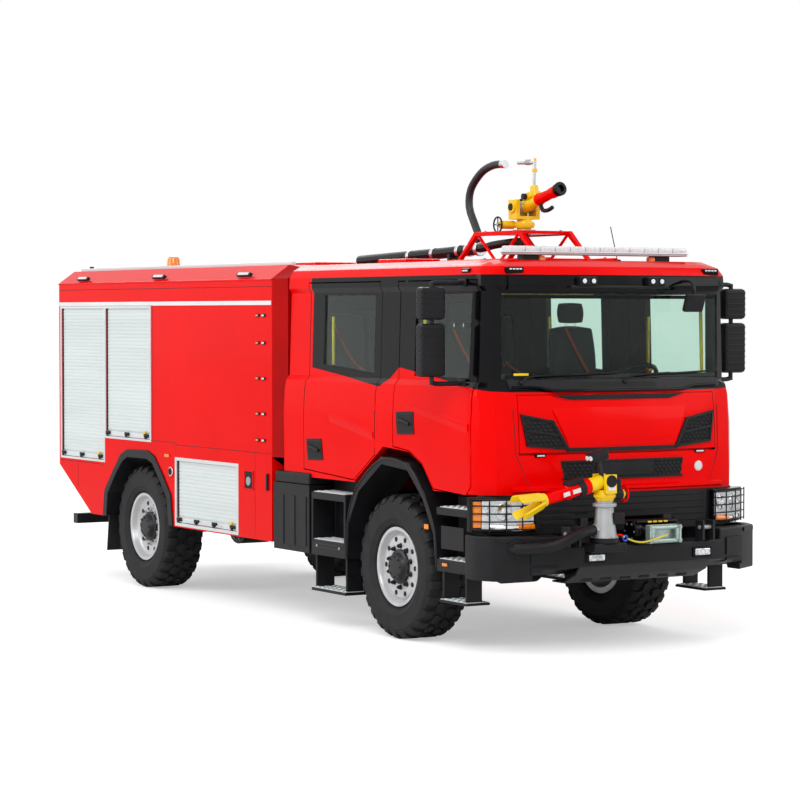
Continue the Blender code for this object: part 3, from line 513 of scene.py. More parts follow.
def refined(node, bevel=0.003, cuts=(), rule=None, extra=()):
    """The CAD node's own shape, with rounded edges and each face's finish chosen by rule(centre, normal)."""
    source = frame["nodes"][node]
    base = FINISH_OF_SLOT[SLOT_OF[node]]
    bm = bmesh.new()
    bm.from_mesh(source.data)
    bmesh.ops.translate(bm, verts=bm.verts, vec=-ORIGIN)
    bmesh.ops.remove_doubles(bm, verts=bm.verts, dist=1e-5)
    bmesh.ops.dissolve_limit(bm, angle_limit=math.radians(0.4), verts=bm.verts, edges=bm.edges)
    bevelled(bm, bevel)
    for point, normal in cuts:
        bmesh.ops.bisect_plane(bm, geom=bm.verts[:] + bm.edges[:] + bm.faces[:], plane_co=point,
                               plane_no=normal)
    finishes = [base, *extra]
    bm.normal_update()
    for face in bm.faces:
        chosen = rule and rule(face.calc_center_median(), face.normal)
        face.material_index = finishes.index(chosen or base)
    work = Work()
    pour(bm, work.bm)
    work.finishes = finishes
    return work.piece(f"{node}_finished", source["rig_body"], SLOT_OF[node], (node,))


# ---------------------------------------------------------------- cab panels

CAB_MIDDLE = Vector((-0.2, 0, 2.2))
BLACK_TOP = 2.926
BLACK_REAR = -1.40
BELT_LINE = ((-1.42, 2.172), (-0.20, 2.035), (0.05, 2.195), (1.25, 2.044), (1.6, 2.0))
BELT_LOW = 2.035
LINED_FROM, LINED_TO = 1.62, 2.99
SCREEN_HALF = 1.06


def belt(x):
    """Height of the black window band's lower edge."""
    for (x0, z0), (x1, z1) in zip(BELT_LINE, BELT_LINE[1:]):
        if x <= x1:
            return z0 + (z1 - z0) * (x - x0) / (x1 - x0)
    return BELT_LINE[-1][1]


def edge_cut(a, b):
    """A plane across the truck through two side-view points."""
    return Vector((a[0], 0, a[1])), Vector((b[1] - a[1], 0, a[0] - b[0])).normalized()


def cab_rule(centre, normal):
    outward = (centre - CAB_MIDDLE).dot(normal)
    if outward < 0 or (abs(centre.y) < 1.05 and centre.x < 1.28):
        return LINING if LINED_FROM < centre.z < LINED_TO else None
    if centre.x > 1.2 and abs(centre.y) < SCREEN_HALF and BELT_LOW < centre.z < BLACK_TOP:
        return GLOSS_BLACK
    if centre.x > BLACK_REAR and belt(centre.x) < centre.z < BLACK_TOP:
        return GLOSS_BLACK
    return None


def cab_panels():
    rear_cut, middle_cut, front_cut = (edge_cut(a, b) for a, b in zip(BELT_LINE[:3], BELT_LINE[1:4]))
    across = [((0, 0, z), (0, 0, 1)) for z in (BELT_LOW, BLACK_TOP)]
    upright = [((x, 0, 0), (1, 0, 0)) for x in (BLACK_REAR, BELT_LINE[1][0], BELT_LINE[2][0], 1.2)]
    extra = (GLOSS_BLACK, LINING)
    refined("cab_shell", 0.004, [rear_cut, front_cut, middle_cut, *across, *upright], cab_rule, extra)
    for name, _ in SIDES:
        refined(f"{name}_rear_door", 0.003, [rear_cut, upright[0]], cab_rule, extra)
        refined(f"{name}_front_door", 0.003, [front_cut], cab_rule, extra)
    refined("front_lid", 0.004)


def pane_y(z):
    """Outer half width of the cab at window height, with the glass set back a little."""
    return 1.165 - 0.020 * (z - 2.10) / 0.70 - 0.014


WINDOWS = {"front": (0.278, 2.123, 1.118, 2.123, 1.124, 2.787, 0.278, 2.787),
           "rear": (-1.218, 2.195, -0.347, 2.134, -0.347, 2.787, -1.218, 2.787)}


def door_details():
    handles = {"front": (0.10, 0.385, 1.66, 1.85), "rear": (-1.39, -1.11, 1.385, 1.575)}
    creases = {"front": ((0.24, 1.94), (1.18, 1.783)), "rear": ((-0.99, 1.80), (-0.27, 1.67))}
    for name, side in SIDES:
        for which in ("front", "rear"):
            body = f"{name}_{which}_door"
            outline = WINDOWS[which]
            corners = [(outline[i], outline[i + 1]) for i in range(0, 8, 2)]
            bm = bmesh.new()
            rings = [[bm.verts.new((x, side * (pane_y(z) - back), z)) for x, z in corners]
                     for back in (0, 0.006)]
            for ring in rings:
                bm.faces.new(ring)
            for i in range(4):
                j = (i + 1) % 4
                bm.faces.new((rings[0][i], rings[0][j], rings[1][j], rings[1][i]))
            Work().take(bm, GLASS).piece(f"{body}_glass", body, "glass")

            trim = Work()
            x0, x1, z0, z1 = handles[which]
            frame_corners = ((x0 + 0.02, z0), (x1, z0 + 0.01), (x1 - 0.02, z1), (x0, z1 - 0.01))
            trim.take(patch(CAB_SKIN, name, frame_corners, 0.006, 6, 4), BLACK)
            # the dark inner patch of the handle recess is painted shade
            inner = ((x0 + 0.045, z0 + 0.022), (x1 - 0.022, z0 + 0.03), (x1 - 0.04, z1 - 0.022),
                     (x0 + 0.024, z1 - 0.03))
            trim.take(patch(CAB_SKIN, name, inner, 0.0075, 4, 3), SHADE_AND_JOINT_DARK)
            middle = (z0 + z1) / 2
            grip = [drape(CAB_SKIN, name, x, z, 0.018) for x, z in ((x0 + 0.05, middle + 0.03),
                                                                    ((x0 + x1) / 2, middle + 0.015),
                                                                    (x1 - 0.05, middle - 0.005))]
            trim.take(tube(grip, 0.013, 10), BLACK)
            a, b = creases[which]
            fold = ((a[0], a[1] - 0.075), (b[0], b[1] - 0.075), b, a)
            trim.take(patch(CAB_SKIN, name, fold, 0.011, 12, 6, 0.003,
                            lambda t: min(t * 1.25, (1 - t) * 5, 1.0)), RED)
            x = -1.16 if which == "rear" else 0.33
            out, back = (side * (pane_y(2.2) - depth) for depth in (0.015, 0.06))
            trim.take(peg("z", (2.16, 2.60), x, back, 0.013, 12), YELLOW)
            trim.take(peg("y", (out, back), x, 2.16, 0.013, 12), YELLOW)
            trim.piece(f"{body}_trim", body, "black_plastic")


def cab_front():
    """Grilles and centre panel on the lid; cowl, visor, lamps and lower grille on the cab."""
    lid = Work()
    for _, side in SIDES:
        quad = [(side * 0.52, 1.575), (side * 0.875, 1.61), (side * 0.92, 1.86), (side * 0.64, 1.805)]
        # dark backing behind the honeycomb is painted shade
        lid.take(on_cab(quad, 0.004, 8, 6), SHADE_AND_JOINT_DARK)
        honeycomb(lid, quad)
        for low, high in ((0, 0.10), (0.46, 0.54), (0.92, 1.0)):
            a, b, c, d = (Vector(q) for q in quad)
            bar = [a.lerp(d, low), b.lerp(c, low), b.lerp(c, high), a.lerp(d, high)]
            lid.take(on_cab(bar, 0.014, 8, 2), BLACK)
        for s0, s1 in ((0.0, 0.04), (0.95, 1.0)):
            a, b, c, d = (Vector(q) for q in quad)
            post = [a.lerp(b, s0), a.lerp(b, s1), d.lerp(c, s1), d.lerp(c, s0)]
            lid.take(on_cab(post, 0.014, 2, 6), BLACK)
    centre = [(-0.495, 1.583), (0.495, 1.583), (0.64, 1.90), (-0.64, 1.90)]
    lid.take(on_cab(centre, 0.012, 16, 6, 0.003, lambda t: min(1, 8 * t, 6 * (1 - t))), RED)
    lid.take(on_cab([(-0.52, 1.562), (0.52, 1.562), (0.515, 1.592), (-0.515, 1.592)], 0.0135, 12, 2), BLACK)
    lip = [(-0.47, 1.962), (0.47, 1.962), (0.62, 1.998), (-0.62, 1.998)]
    lid.take(on_cab(lip, 0.014, 16, 3, 0.003, lambda t: 0.6 + 0.4 * t), BLACK)
    for _, side in SIDES:
        inner = [(side * 0.497, 1.572), (side * 0.528, 1.572), (side * 0.665, 1.812), (side * 0.632, 1.806)]
        lid.take(on_cab(inner, 0.0135, 2, 6), BLACK)
    lid.piece("front_lid_grilles", "front_lid", "black_plastic")

    front = Work()
    lower = [(-0.55, 1.35), (0.55, 1.35), (0.585, 1.49), (-0.585, 1.49)]
    # dark backing behind the honeycomb is painted shade
    front.take(on_cab(lower, 0.004, 16, 4), SHADE_AND_JOINT_DARK)
    honeycomb(front, lower)
    for z0, z1 in ((1.345, 1.362), (1.478, 1.495)):
        edge = oblong(-0.57, 0.57, z0, z1)
        front.take(on_cab(edge, 0.012, 16, 2), BLACK)
    front.take(on_cab(oblong(-0.27, 0.27, 1.37, 1.475), 0.014, 8, 2), BLACK)
    disc = cab_point(0.74, 1.42, 0.0)
    front.take(rod(disc - Vector((0.01, 0, 0)), disc + Vector((0.008, 0, 0)), 0.040, 28, 0.004), CHROME)
    front.take(rod(disc, disc + Vector((0.010, 0, 0)), 0.031, 28, 0.003), LABEL)
    cowl = [(-0.60, 2.020), (0.60, 2.020), (0.66, 2.05), (-0.66, 2.05)]
    front.take(on_cab(cowl, 0.016, 16, 3), BLACK)
    rim_ = [cab_point(y, z, 0.020) for y, z in
            ((-0.97, 2.064), (-0.74, 2.058), (-0.60, 2.034), (-0.3, 2.032), (0.3, 2.032), (0.60, 2.034),
             (0.74, 2.058), (0.97, 2.064))]
    front.take(tube(rim_, 0.010, 8), GLOSS_BLACK)
    front.take(on_cab([(-0.99, 2.045), (0.99, 2.045), (1.0, 2.118), (-1.0, 2.118)], 0.010, 24, 3), BLACK)
    # the three slots under the windscreen are dark strips of painted shade
    for z in (2.062, 2.075, 2.088):
        slot_ = oblong(-0.35, 0.35, z, z + 0.005)
        front.take(on_cab(slot_, 0.013, 12, 1), SHADE_AND_JOINT_DARK)
    visor = oblong(-1.0, 1.0, 2.805, 2.915)
    front.take(on_cab(visor, 0.018, 24, 5, 0.004, lambda t: 0.35 + 0.65 * (1 - t)), GLOSS_BLACK)
    front.take(tube([cab_point(y, 2.832, 0.040) for y in (-0.48, -0.16, 0.16, 0.45)], 0.013, 12), BLACK)
    for _, side in SIDES:
        spot = cab_point(side * 0.325, 2.875, 0.02)
        front.take(block((spot.x - 0.02, spot.x + 0.038), about(spot.y, 0.082), (2.842, 2.912), 0.008), BLACK)
        for dy in (-0.043, 0.043):
            front.take(peg("x", (spot.x + 0.030, spot.x + 0.042), spot.y + dy, 2.878, 0.027, 24, 0.003),
                       GLOSS_BLACK)
            front.take(peg("x", (spot.x + 0.036, spot.x + 0.046), spot.y + dy, 2.878, 0.019, 20, 0.003), LENS)
        spot = cab_point(side * 0.93, 2.962, 0.0)
        front.take(block((spot.x - 0.03, spot.x + 0.014), about(spot.y, 0.078), (2.932, 2.985), 0.008),
                   GLOSS_BLACK)
        for dy in (-0.045, -0.015, 0.015, 0.045):
            front.take(block((spot.x, spot.x + 0.018), about(spot.y + dy, 0.011), (2.962, 2.974),
                             0.003), LENS)
        front.take(side_block(side, (0.99, 1.10), (1.12, 1.166), (2.940, 2.975), 0.008), GLOSS_BLACK)
        front.take(side_block(side, (1.01, 1.08), (1.14, 1.170), (2.951, 2.963), 0.003), LENS)
        spot = cab_point(side * 0.758, 1.535, 0.0)
        front.take(block(about(spot.x, 0.01), about(spot.y, 0.05), (1.525, 1.548), 0.005), GLOSS_BLACK)
        front.take(block((spot.x, spot.x + 0.014), about(spot.y, 0.035), (1.531, 1.543), 0.003), LENS)
        seam = [(side * 0.96, 1.55), (side * 0.964, 1.55), (side * 0.975, 1.90), (side * 0.971, 1.90)]
        front.take(on_cab(seam, 0.0006, 1, 8), SHADE_AND_JOINT_DARK)
        seam = [(side * 0.845, 1.27), (side * 0.849, 1.27), (side * 0.964, 1.55), (side * 0.960, 1.55)]
        front.take(on_cab(seam, 0.0006, 1, 8), SHADE_AND_JOINT_DARK)
    front.take(on_cab(oblong(-1.0, 1.0, 1.255, 1.300), 0.016, 24, 4, 0.003,
                      lambda t: min(1, 5 * t, 4 * (1 - t))), RED)
    front.piece("cab_front_trim", "truck", "black_plastic")


def windscreen_details():
    glass_ = Work()
    refined("windscreen", 0.0)
    for parked, tip in ((-0.88, 0.0), (0.06, 0.90)):
        arm = [cab_point(parked + along, z, lift) for along, z, lift in
               ((0, 2.095, 0.014), (0.025, 2.118, 0.026), (0.09, 2.143, 0.030), (0.45, 2.160, 0.022))]
        glass_.take(tube(arm, 0.008, 10), BLACK)
        glass_.take(ball(arm[0], 0.020), BLACK)
        blade = [cab_point(y, z, 0.013) for y, z in
                 ((parked + 0.14, 2.146), (parked + 0.50, 2.156), (tip, 2.168))]
        glass_.take(tube(blade, 0.008, 8), BLACK)
    edge = oblong(-1.0, 1.0, 2.128, 2.77)
    band = 0.028
    for quad in ((edge[0], edge[1], (1.0, 2.128 + band), (-1.0, 2.128 + band)),
                 ((-1.0, 2.77 - band), (1.0, 2.77 - band), edge[2], edge[3])):
        glass_.take(on_cab(quad, 0.0015, 24, 1, 0.001), GLOSS_BLACK)
    sticker = oblong(-0.93, -0.80, 2.135, 2.168)
    glass_.take(on_cab(sticker, 0.003, 3, 1, 0.001), YELLOW)
    glass_.piece("wipers", "truck", "black_plastic")


# ---------------------------------------------------------------- equipment body

BODY_SIDE = 1.25
SHUTTER_SKIN = 1.2205
SHUTTER_OUT = 0.016
SLAT_PITCH = 0.034
SHUTTERS = ("rear_shutter", "middle_shutter", "lower_shutter")
RECESS = ((-2.475, -2.325), (1.085, 1.235))


def slatted(work, view, u0, u1, z0, z1, deep):
    """Roller slats with rolled faces, from deep outwards, and a bottom bar. view is a side or the rear."""
    count = round((z1 - z0 - 0.06) / SLAT_PITCH)
    pitch = (z1 - z0 - 0.06) / count
    outline = [(deep, z0 + 0.002)]
    for i in range(count):
        low = z0 + 0.06 + i * pitch
        outline += [(deep + 0.011, low + 0.001), (deep + SHUTTER_OUT * 0.88, low + 0.004),
                    (deep + SHUTTER_OUT, low + pitch * 0.5), (deep + SHUTTER_OUT * 0.88, low + pitch - 0.003)]
    outline += [(deep + 0.006, z1 - 0.002), (deep, z1 - 0.002)]
    outline[1:1] = [(deep + 0.006, z0 + 0.002), (deep + 0.006, z0 + 0.055)]
    bar = ((deep, z0 + 0.004), (deep + 0.026, z0 + 0.004), (deep + 0.026, z0 + 0.05), (deep, z0 + 0.056))
    for shape, finish_, bevel in ((outline, SLAT, 0), (bar, ALUMINIUM, 0.003)):
        if view == "rear":
            work.take(prism([(-d, z) for d, z in shape], "y", u0, u1, bevel), finish_)
        else:
            sign = -1 if view == "right" else 1
            work.take(prism([(sign * d, z) for d, z in shape], "x", u0, u1, bevel), finish_)


def latches(work, side, spots, z, out):
    for x in spots:
        work.take(side_block(side, about(x, 0.045), (out, out + 0.016), (z - 0.014, z + 0.020), 0.005), BLACK)
        work.take(side_block(side, about(x, 0.014), (out + 0.010, out + 0.024), (z - 0.030, z + 0.002),
                             0.004), BLACK)


def shutters():
    out = SHUTTER_SKIN + 0.026
    for name, side in SIDES:
        for which in SHUTTERS:
            node = f"{name}_{which}"
            low, high = span(node)
            work = Work()
            slatted(work, name, low.x, high.x, low.z, high.z, SHUTTER_SKIN)
            work.take(side_block(side, (low.x + 0.001, low.x + 0.022), (SHUTTER_SKIN, SHUTTER_SKIN + 0.022),
                                 (low.z + 0.06, high.z - 0.004), 0.002), SHADE_AND_JOINT_DARK)
            wide = high.x - low.x
            count = 4 if which == "lower_shutter" else 3
            spots = [low.x + 0.06 + i * (wide - 0.14) / (count - 1) for i in range(count)]
            latches(work, side, spots, low.z + 0.032, out)
            x = high.x - 0.15
            work.take(side_block(side, (x, x + 0.05), (out, out + 0.012), (low.z + 0.035, low.z + 0.075),
                                 0.003), YELLOW)
            if which == "lower_shutter":
                work.take(side_block(side, (low.x + 0.20, high.x - 0.30), (out, out + 0.012),
                                     (low.z + 0.012, low.z + 0.030), 0.004), CHROME)
            work.piece(f"{node}_slats", "truck", "aluminium", (node,))
    low, high = span("tail_shutter")
    work = Work()
    slatted(work, "rear", low.y, high.y, low.z, high.z, -(BODY_REAR + 0.029))
    for y in (-0.6, -0.2, 0.2, 0.6):
        work.take(block((BODY_REAR - 0.012, BODY_REAR + 0.010), about(y, 0.045),
                        (low.z + 0.014, low.z + 0.045), 0.005), BLACK)
    work.piece("tail_shutter_slats", "truck", "aluminium", ("tail_shutter",))


BODY_REAR = span("equipment_body")[0].x
BODY_FRONT = -1.97
BODY_TOP = span("equipment_body")[1].z
ARCH_OUT = ((-5.49, 0.65), (-5.45, 0.90), (-5.25, 1.10), (-5.07, 1.27), (-4.93, 1.32), (-4.47, 1.33),
            (-4.315, 1.28), (-4.13, 1.11), (-3.965, 0.936), (-3.92, 0.65))
ARCH_IN = ((-5.40, 0.65), (-5.37, 0.87), (-5.18, 1.07), (-5.03, 1.20), (-4.92, 1.245), (-4.49, 1.25),
           (-4.36, 1.21), (-4.19, 1.05), (-4.05, 0.90), (-4.01, 0.65))


def body_rule(centre, normal):
    # Inner faces below 1.3 m round the rear wheel well and low faces facing down get painted shade; the front
    # wall above 1.3 m gets a darker red as painted shade.
    if abs(centre.y) < 1.20 and centre.z < 1.30 and -6.4 < centre.x < -2.1:
        return SHADE_AND_JOINT_DARK
    if centre.x > BODY_FRONT + 0.005 and centre.z > 1.3:
        return PAINTED_SHADE_RED
    if centre.z < 0.66 and normal.z < -0.5:
        return SHADE_AND_JOINT_DARK
    return None


def frame_of(work, view, u0, u1, z0, z1, width, finish_, out):
    """Four bevelled bars round an opening, on a side or on the tail."""
    for a, b, c, d in ((u0 - width, u1 + width, z1, z1 + width), (u0 - width, u1 + width, z0 - width, z0),
                       (u0 - width, u0, z0, z1), (u1, u1 + width, z0, z1)):
        if view == "rear":
            work.take(block((BODY_REAR - out, BODY_REAR + 0.005), (a, b), (c, d), 0.002), finish_)
        else:
            side = -1 if view == "right" else 1
            work.take(side_block(side, (a, b), (BODY_SIDE - 0.005, BODY_SIDE + out), (c, d), 0.002), finish_)


def body_sides():
    refined("equipment_body", 0.006, [((BODY_FRONT + 0.004, 0, 0), (1, 0, 0))], body_rule, (SHADE_AND_JOINT_DARK, PAINTED_SHADE_RED))
    for name, side in SIDES:
        work = Work()
        strip = (BODY_SIDE, BODY_SIDE + 0.010)
        work.take(side_block(side, (BODY_REAR + 0.004, BODY_FRONT - 0.003), strip, (2.700, 2.738), 0.004),
                  WHITE)
        for which in SHUTTERS:
            low, high = span(f"{name}_{which}")
            width = 0.022 if which != "lower_shutter" else 0.030
            top = high.z if which == "lower_shutter" else high.z - 0.022
            frame_of(work, name, low.x, high.x, low.z, top, width, ALUMINIUM, 0.006)
        for x0, x1, z0, z1 in ((BODY_REAR + 0.01, -5.475, 1.145, 1.150), (-6.103, -6.098, 0.90, 1.145),
                               (-4.37, -4.365, 1.44, 2.695), (-3.874, -3.869, 0.66, 1.43),
                               (-3.87, BODY_FRONT - 0.01, 1.405, 1.410), (-5.462, -3.872, 1.425, 1.430),
                               (BODY_REAR + 0.004, BODY_FRONT - 0.004, 2.858, 2.863),
                               (-2.285, -2.280, 0.66, 1.40)):
            work.take(side_block(side, (x0, x1), (BODY_SIDE - 0.002, BODY_SIDE + 0.0008), (z0, z1), 0), SHADE_AND_JOINT_DARK)
        outline = [(x, z) for x, z in ARCH_OUT] + [(x, z) for x, z in reversed(ARCH_IN)]
        low, high = sorted((side * (BODY_SIDE - 0.30), side * (BODY_SIDE + 0.014)))
        work.take(prism(outline, "y", low, high, 0.006), BLACK)
        # amber marker and round cap by the arch
        work.take(side_block(side, (-4.095, -4.005), (BODY_SIDE, BODY_SIDE + 0.014), (1.285, 1.315), 0.006),
                  AMBER)
        lamp = (-3.96, side * BODY_SIDE, 1.155)
        work.take(rod(lamp, (lamp[0], side * (BODY_SIDE + 0.018), lamp[2]), 0.045, 28, 0.006), CHROME)
        work.take(peg("y", (side * (BODY_SIDE + 0.012), side * (BODY_SIDE + 0.022)), lamp[0], lamp[2], 0.033,
                      28, 0.003), GLOSS_BLACK)
        # filler recess with its dark back as painted shade, vent and the small lamps up the front edge
        frame_of(work, name, *RECESS[0], *RECESS[1], 0.012, RED, 0.007)
        work.take(side_block(side, RECESS[0], (BODY_SIDE, BODY_SIDE + 0.002), RECESS[1], 0), SHADE_AND_JOINT_DARK)
        work.take(peg("y", (side * BODY_SIDE, side * (BODY_SIDE + 0.012)), -2.40, 1.15, 0.040, 24, 0.004),
                  CAST)
        work.take(side_block(side, (-2.062, -2.030), (BODY_SIDE, BODY_SIDE + 0.018), (1.085, 1.235), 0.006),
                  BLACK)
        for z in (2.61, 2.37, 2.06, 1.75, 1.52):
            for x in (-2.225, -2.115):
                work.take(side_block(side, about(x, 0.030), (BODY_SIDE, BODY_SIDE + 0.012),
                                     about(z, 0.014), 0.005), BLACK)
                work.take(side_block(side, about(x, 0.020), (BODY_SIDE + 0.008, BODY_SIDE + 0.016),
                                     about(z, 0.008), 0.003), AMBER if x < -2.2 else LENS)
        for x in (-6.0, -4.26, -2.52):
            place = Matrix.Translation((x, side * 1.228, 2.968)) @ Matrix.Rotation(-side * 0.95, 4, "X")
            work.take(block((-0.13, 0.13), (-0.018, 0.018), (-0.012, 0.018), 0.008), BLACK, place)
            work.take(block((-0.10, 0.10), (-0.013, 0.013), (0.012, 0.022), 0.004), LENS, place)
        # gutter under the roof fold
        work.take(side_block(side, (BODY_REAR, BODY_FRONT), about(BODY_SIDE, 0.01), (2.914, 2.930),
                             0.005), RED)
        work.piece(f"body_{name}_trim", "truck", "red_paint")


def body_roof_and_tail():
    roof_ = Work()
    top = BODY_TOP
    for _, side in SIDES:
        roof_.take(side_block(side, (BODY_REAR + 0.05, BODY_FRONT - 0.05), (0.98, 1.03),
                              (top - 0.003, top + 0.030), 0.006), ALUMINIUM)
        roof_.take(side_block(side, (-5.9, -2.9), (0.30, 0.80), (top - 0.002, top + 0.012), 0.004), ALUMINIUM)
        for i in range(14):
            x = -5.8 + i * 0.21
            roof_.take(side_block(side, (x, x + 0.03), (0.34, 0.76), (top + 0.010, top + 0.016), 0.003),
                       ALUMINIUM)
    roof_.take(block((-3.55, -3.05), (-0.22, 0.22), (top - 0.002, top + 0.05), 0.012), RED)
    roof_.take(block((-5.2, -4.5), (-0.24, 0.24), (top - 0.002, top + 0.06), 0.012), RED)
    beacon = (-4.65, -0.89)
    roof_.take(peg("z", (top - 0.002, top + 0.025), *beacon, 0.072, 24, 0.005), BLACK)
    roof_.take(turned(((0, 0), (0, 0.064), (0.07, 0.060), (0.098, 0.045), (0.105, 0)), (*beacon, top + 0.02),
                      "z", 28), AMBER)
    roof_.take(peg("z", (top - 0.002, top + 0.05), -6.42, -0.95, 0.022, 16, 0.006), BLACK)
    roof_.piece("body_roof_fittings", "truck", "aluminium")

    tail = Work()
    frame_of(tail, "rear", -0.80, 0.80, 1.19, 2.70, 0.025, ALUMINIUM, 0.006)
    for _, side in SIDES:
        column = [(z, 0.052, lens) for z, lens in ((1.32, RED_LENS), (1.45, AMBER), (1.58, LENS))]
        tail.take(side_block(side, (BODY_REAR - 0.016, BODY_REAR + 0.004), (0.99, 1.16), (1.24, 1.66), 0.012),
                  BLACK)
        for z, radius, lens in column:
            tail.take(peg("x", (BODY_REAR - 0.010, BODY_REAR - 0.028), side * 1.075, z, radius, 24, 0.006),
                      lens)
        tail.take(side_block(side, (BODY_REAR - 0.030, BODY_REAR), (0.96, 1.16), (2.74, 2.80), 0.010), AMBER)
        tail.take(peg("z", (1.45, 2.45), BODY_REAR - 0.045, side * 0.90, 0.016, 14), ALUMINIUM)
        for z in (1.46, 1.95, 2.44):
            tail.take(peg("x", (BODY_REAR, BODY_REAR - 0.045), side * 0.90, z, 0.013, 12), ALUMINIUM)
    tail.take(block((BODY_REAR - 0.004, BODY_REAR + 0.002), (-1.2, 1.2), (2.858, 2.863), 0), SHADE_AND_JOINT_DARK)
    tail.piece("body_tail_fittings", "truck", "aluminium")


# ---------------------------------------------------------------- wheels

TYRE_R = 0.585
TYRE_MIDDLE = 1.19 - 0.395 / 2
AXLE_Z = TYRE_R
LUGS = 27
DISC_OUT = 1.12


def tyre(end, name, side, axle_x):
    """Carcass with ribs, two staggered rows of tread blocks and lugs over both shoulders."""
    work = Work()
    half = ((0.150, 0.3003), (0.150, 0.333), (0.172, 0.345), (0.1915, 0.385), (0.1960, 0.392),
            (0.1960, 0.398), (0.1945, 0.404), (0.1970, 0.45), (0.1940, 0.495), (0.1955, 0.500),
            (0.1955, 0.506), (0.1905, 0.515), (0.178, 0.545), (0.150, 0.561))
    profile = [(side * (TYRE_MIDDLE + a), r) for a, r in half]
    profile += [(side * (TYRE_MIDDLE - a), r) for a, r in reversed(half)]
    work.take(turned(profile, (axle_x, 0, AXLE_Z), "y", 72), TYRE)
    bm = bmesh.new()

    def on_tread(along, across, radius):
        angle = along / TYRE_R
        return bm.verts.new((axle_x + radius * math.sin(angle), side * (TYRE_MIDDLE + across),
                             AXLE_Z + radius * math.cos(angle)))

    def lofted(rings):
        rings = [[on_tread(*point) for point in ring] for ring in rings]
        bm.faces.new(rings[0])
        bm.faces.new(rings[-1])
        for low, high in zip(rings, rings[1:]):
            for i in range(len(low)):
                j = (i + 1) % len(low)
                bm.faces.new((low[i], low[j], high[j], high[i]))

    pitch = 2 * math.pi * TYRE_R / LUGS
    edge = ((0.098, 0.552), (0.101, 0.5845), (0.150, 0.5835), (0.176, 0.568), (0.1935, 0.530), (0.186, 0.520))
    hexagon = ((-0.052, 0.006), (-0.026, 0.040), (0.030, 0.044), (0.052, 0.008), (0.026, -0.030),
               (-0.032, -0.036))
    for i in range(LUGS):
        for row in (-1, 1):
            start = (i + (0.5 if row > 0 else 0)) * pitch
            wide, slant = 0.036, 0.012
            rings = []
            for end_ in (-1, 1):
                rings.append([(start + end_ * (wide - (0.004 if r > 0.57 else 0)) + slant * (a - 0.1) * 10,
                               row * a, r) for a, r in edge])
            lofted(rings)
            rings = []
            for radius, share in ((0.556, 1.0), (0.580, 0.95), (0.5848, 0.88)):
                rings.append([(start + pitch * 0.5 + s * share, row * (0.050 + a * share), radius)
                              for s, a in hexagon])
            lofted(rings)
    work.take(bm, TYRE)
    work.piece(f"{end}_{name}_tyre_tread", f"{end}_{name}_wheel", "tyre", (f"{end}_{name}_tyre",), 32)


def rim(end, name, side, axle_x):
    """Rim with rolled flanges, dished disc with hand holes as dark discs of painted shade, ten nuts and a
    hub.
    """
    work = Work()
    front = end == "front"
    out = TYRE_MIDDLE + 0.150
    back = TYRE_MIDDLE - 0.150
    disc = DISC_OUT if front else DISC_OUT - 0.035
    shape = [(back - 0.014, 0.272), (back - 0.014, 0.318), (back - 0.009, 0.322), (back, 0.318),
             (back, 0.300), (out, 0.300), (out, 0.316), (out + 0.006, 0.3215), (out + 0.013, 0.3215),
             (out + 0.0143, 0.316), (out + 0.012, 0.296), (out - 0.004, 0.287), (out - 0.03, 0.282),
             (out - 0.045, 0.272), (disc, 0.250), (disc + 0.002, 0.205), (disc, 0.190), (disc, 0.0),
             (DISC_OUT - 0.055, 0.0), (DISC_OUT - 0.055, 0.250), (DISC_OUT - 0.075, 0.270)]
    work.take(turned([(side * a, r) for a, r in shape], (axle_x, 0, AXLE_Z), "y", 64), SILVER)

    def spot(radius, i, count, turn=0.0):
        angle = 2 * math.pi * (i + turn) / count
        return axle_x + radius * math.sin(angle), AXLE_Z + radius * math.cos(angle)

    for i in range(10):
        x, z = spot(0.226, i, 10, 0.5)
        # hand holes: dark discs, painted shade
        work.take(peg("y", (side * (disc - 0.004), side * (disc + 0.0045)), x, z, 0.021, 18, 0.002), SHADE_AND_JOINT_DARK)
        x, z = spot(0.1675, i, 10)
        work.take(nut((x, side * disc, z), (0, side, 0), 0.017, 0.026), STEEL if front else SILVER)
        work.take(peg("y", (side * disc, side * (disc + 0.036)), x, z, 0.010, 12, 0.002), STEEL)
    hub = 1.183 if front else 1.157
    cover = [(disc - 0.001, 0.0), (disc - 0.001, 0.142), (disc + 0.020, 0.140), (disc + 0.030, 0.118),
             (hub - 0.012, 0.108), (hub - 0.003, 0.098), (hub, 0.060), (hub, 0.0)]
    work.take(turned([(side * a, r) for a, r in cover], (axle_x, 0, AXLE_Z), "y", 48), STEEL)
    for i in range(8):
        x, z = spot(0.082, i, 8)
        work.take(nut((x, side * (hub - 0.006), z), (0, side, 0), 0.009, 0.010), BLACK)
    x, z = spot(0.262, 3, 10)
    work.take(peg("y", (side * (out - 0.035), side * (out - 0.002)), x, z, 0.006, 8), CHROME)
    work.piece(f"{end}_{name}_rim_disc", f"{end}_{name}_wheel", "silver", (f"{end}_{name}_rim",))


def wheels():
    for end in ("front", "rear"):
        for name, side in SIDES:
            axle_x = JOINTS[f"{end}_{name}_wheel_spin"]["pos_m"][0] - ORIGIN.x
            tyre(end, name, side, axle_x)
            rim(end, name, side, axle_x)


# ---------------------------------------------------------------- low sides and running gear


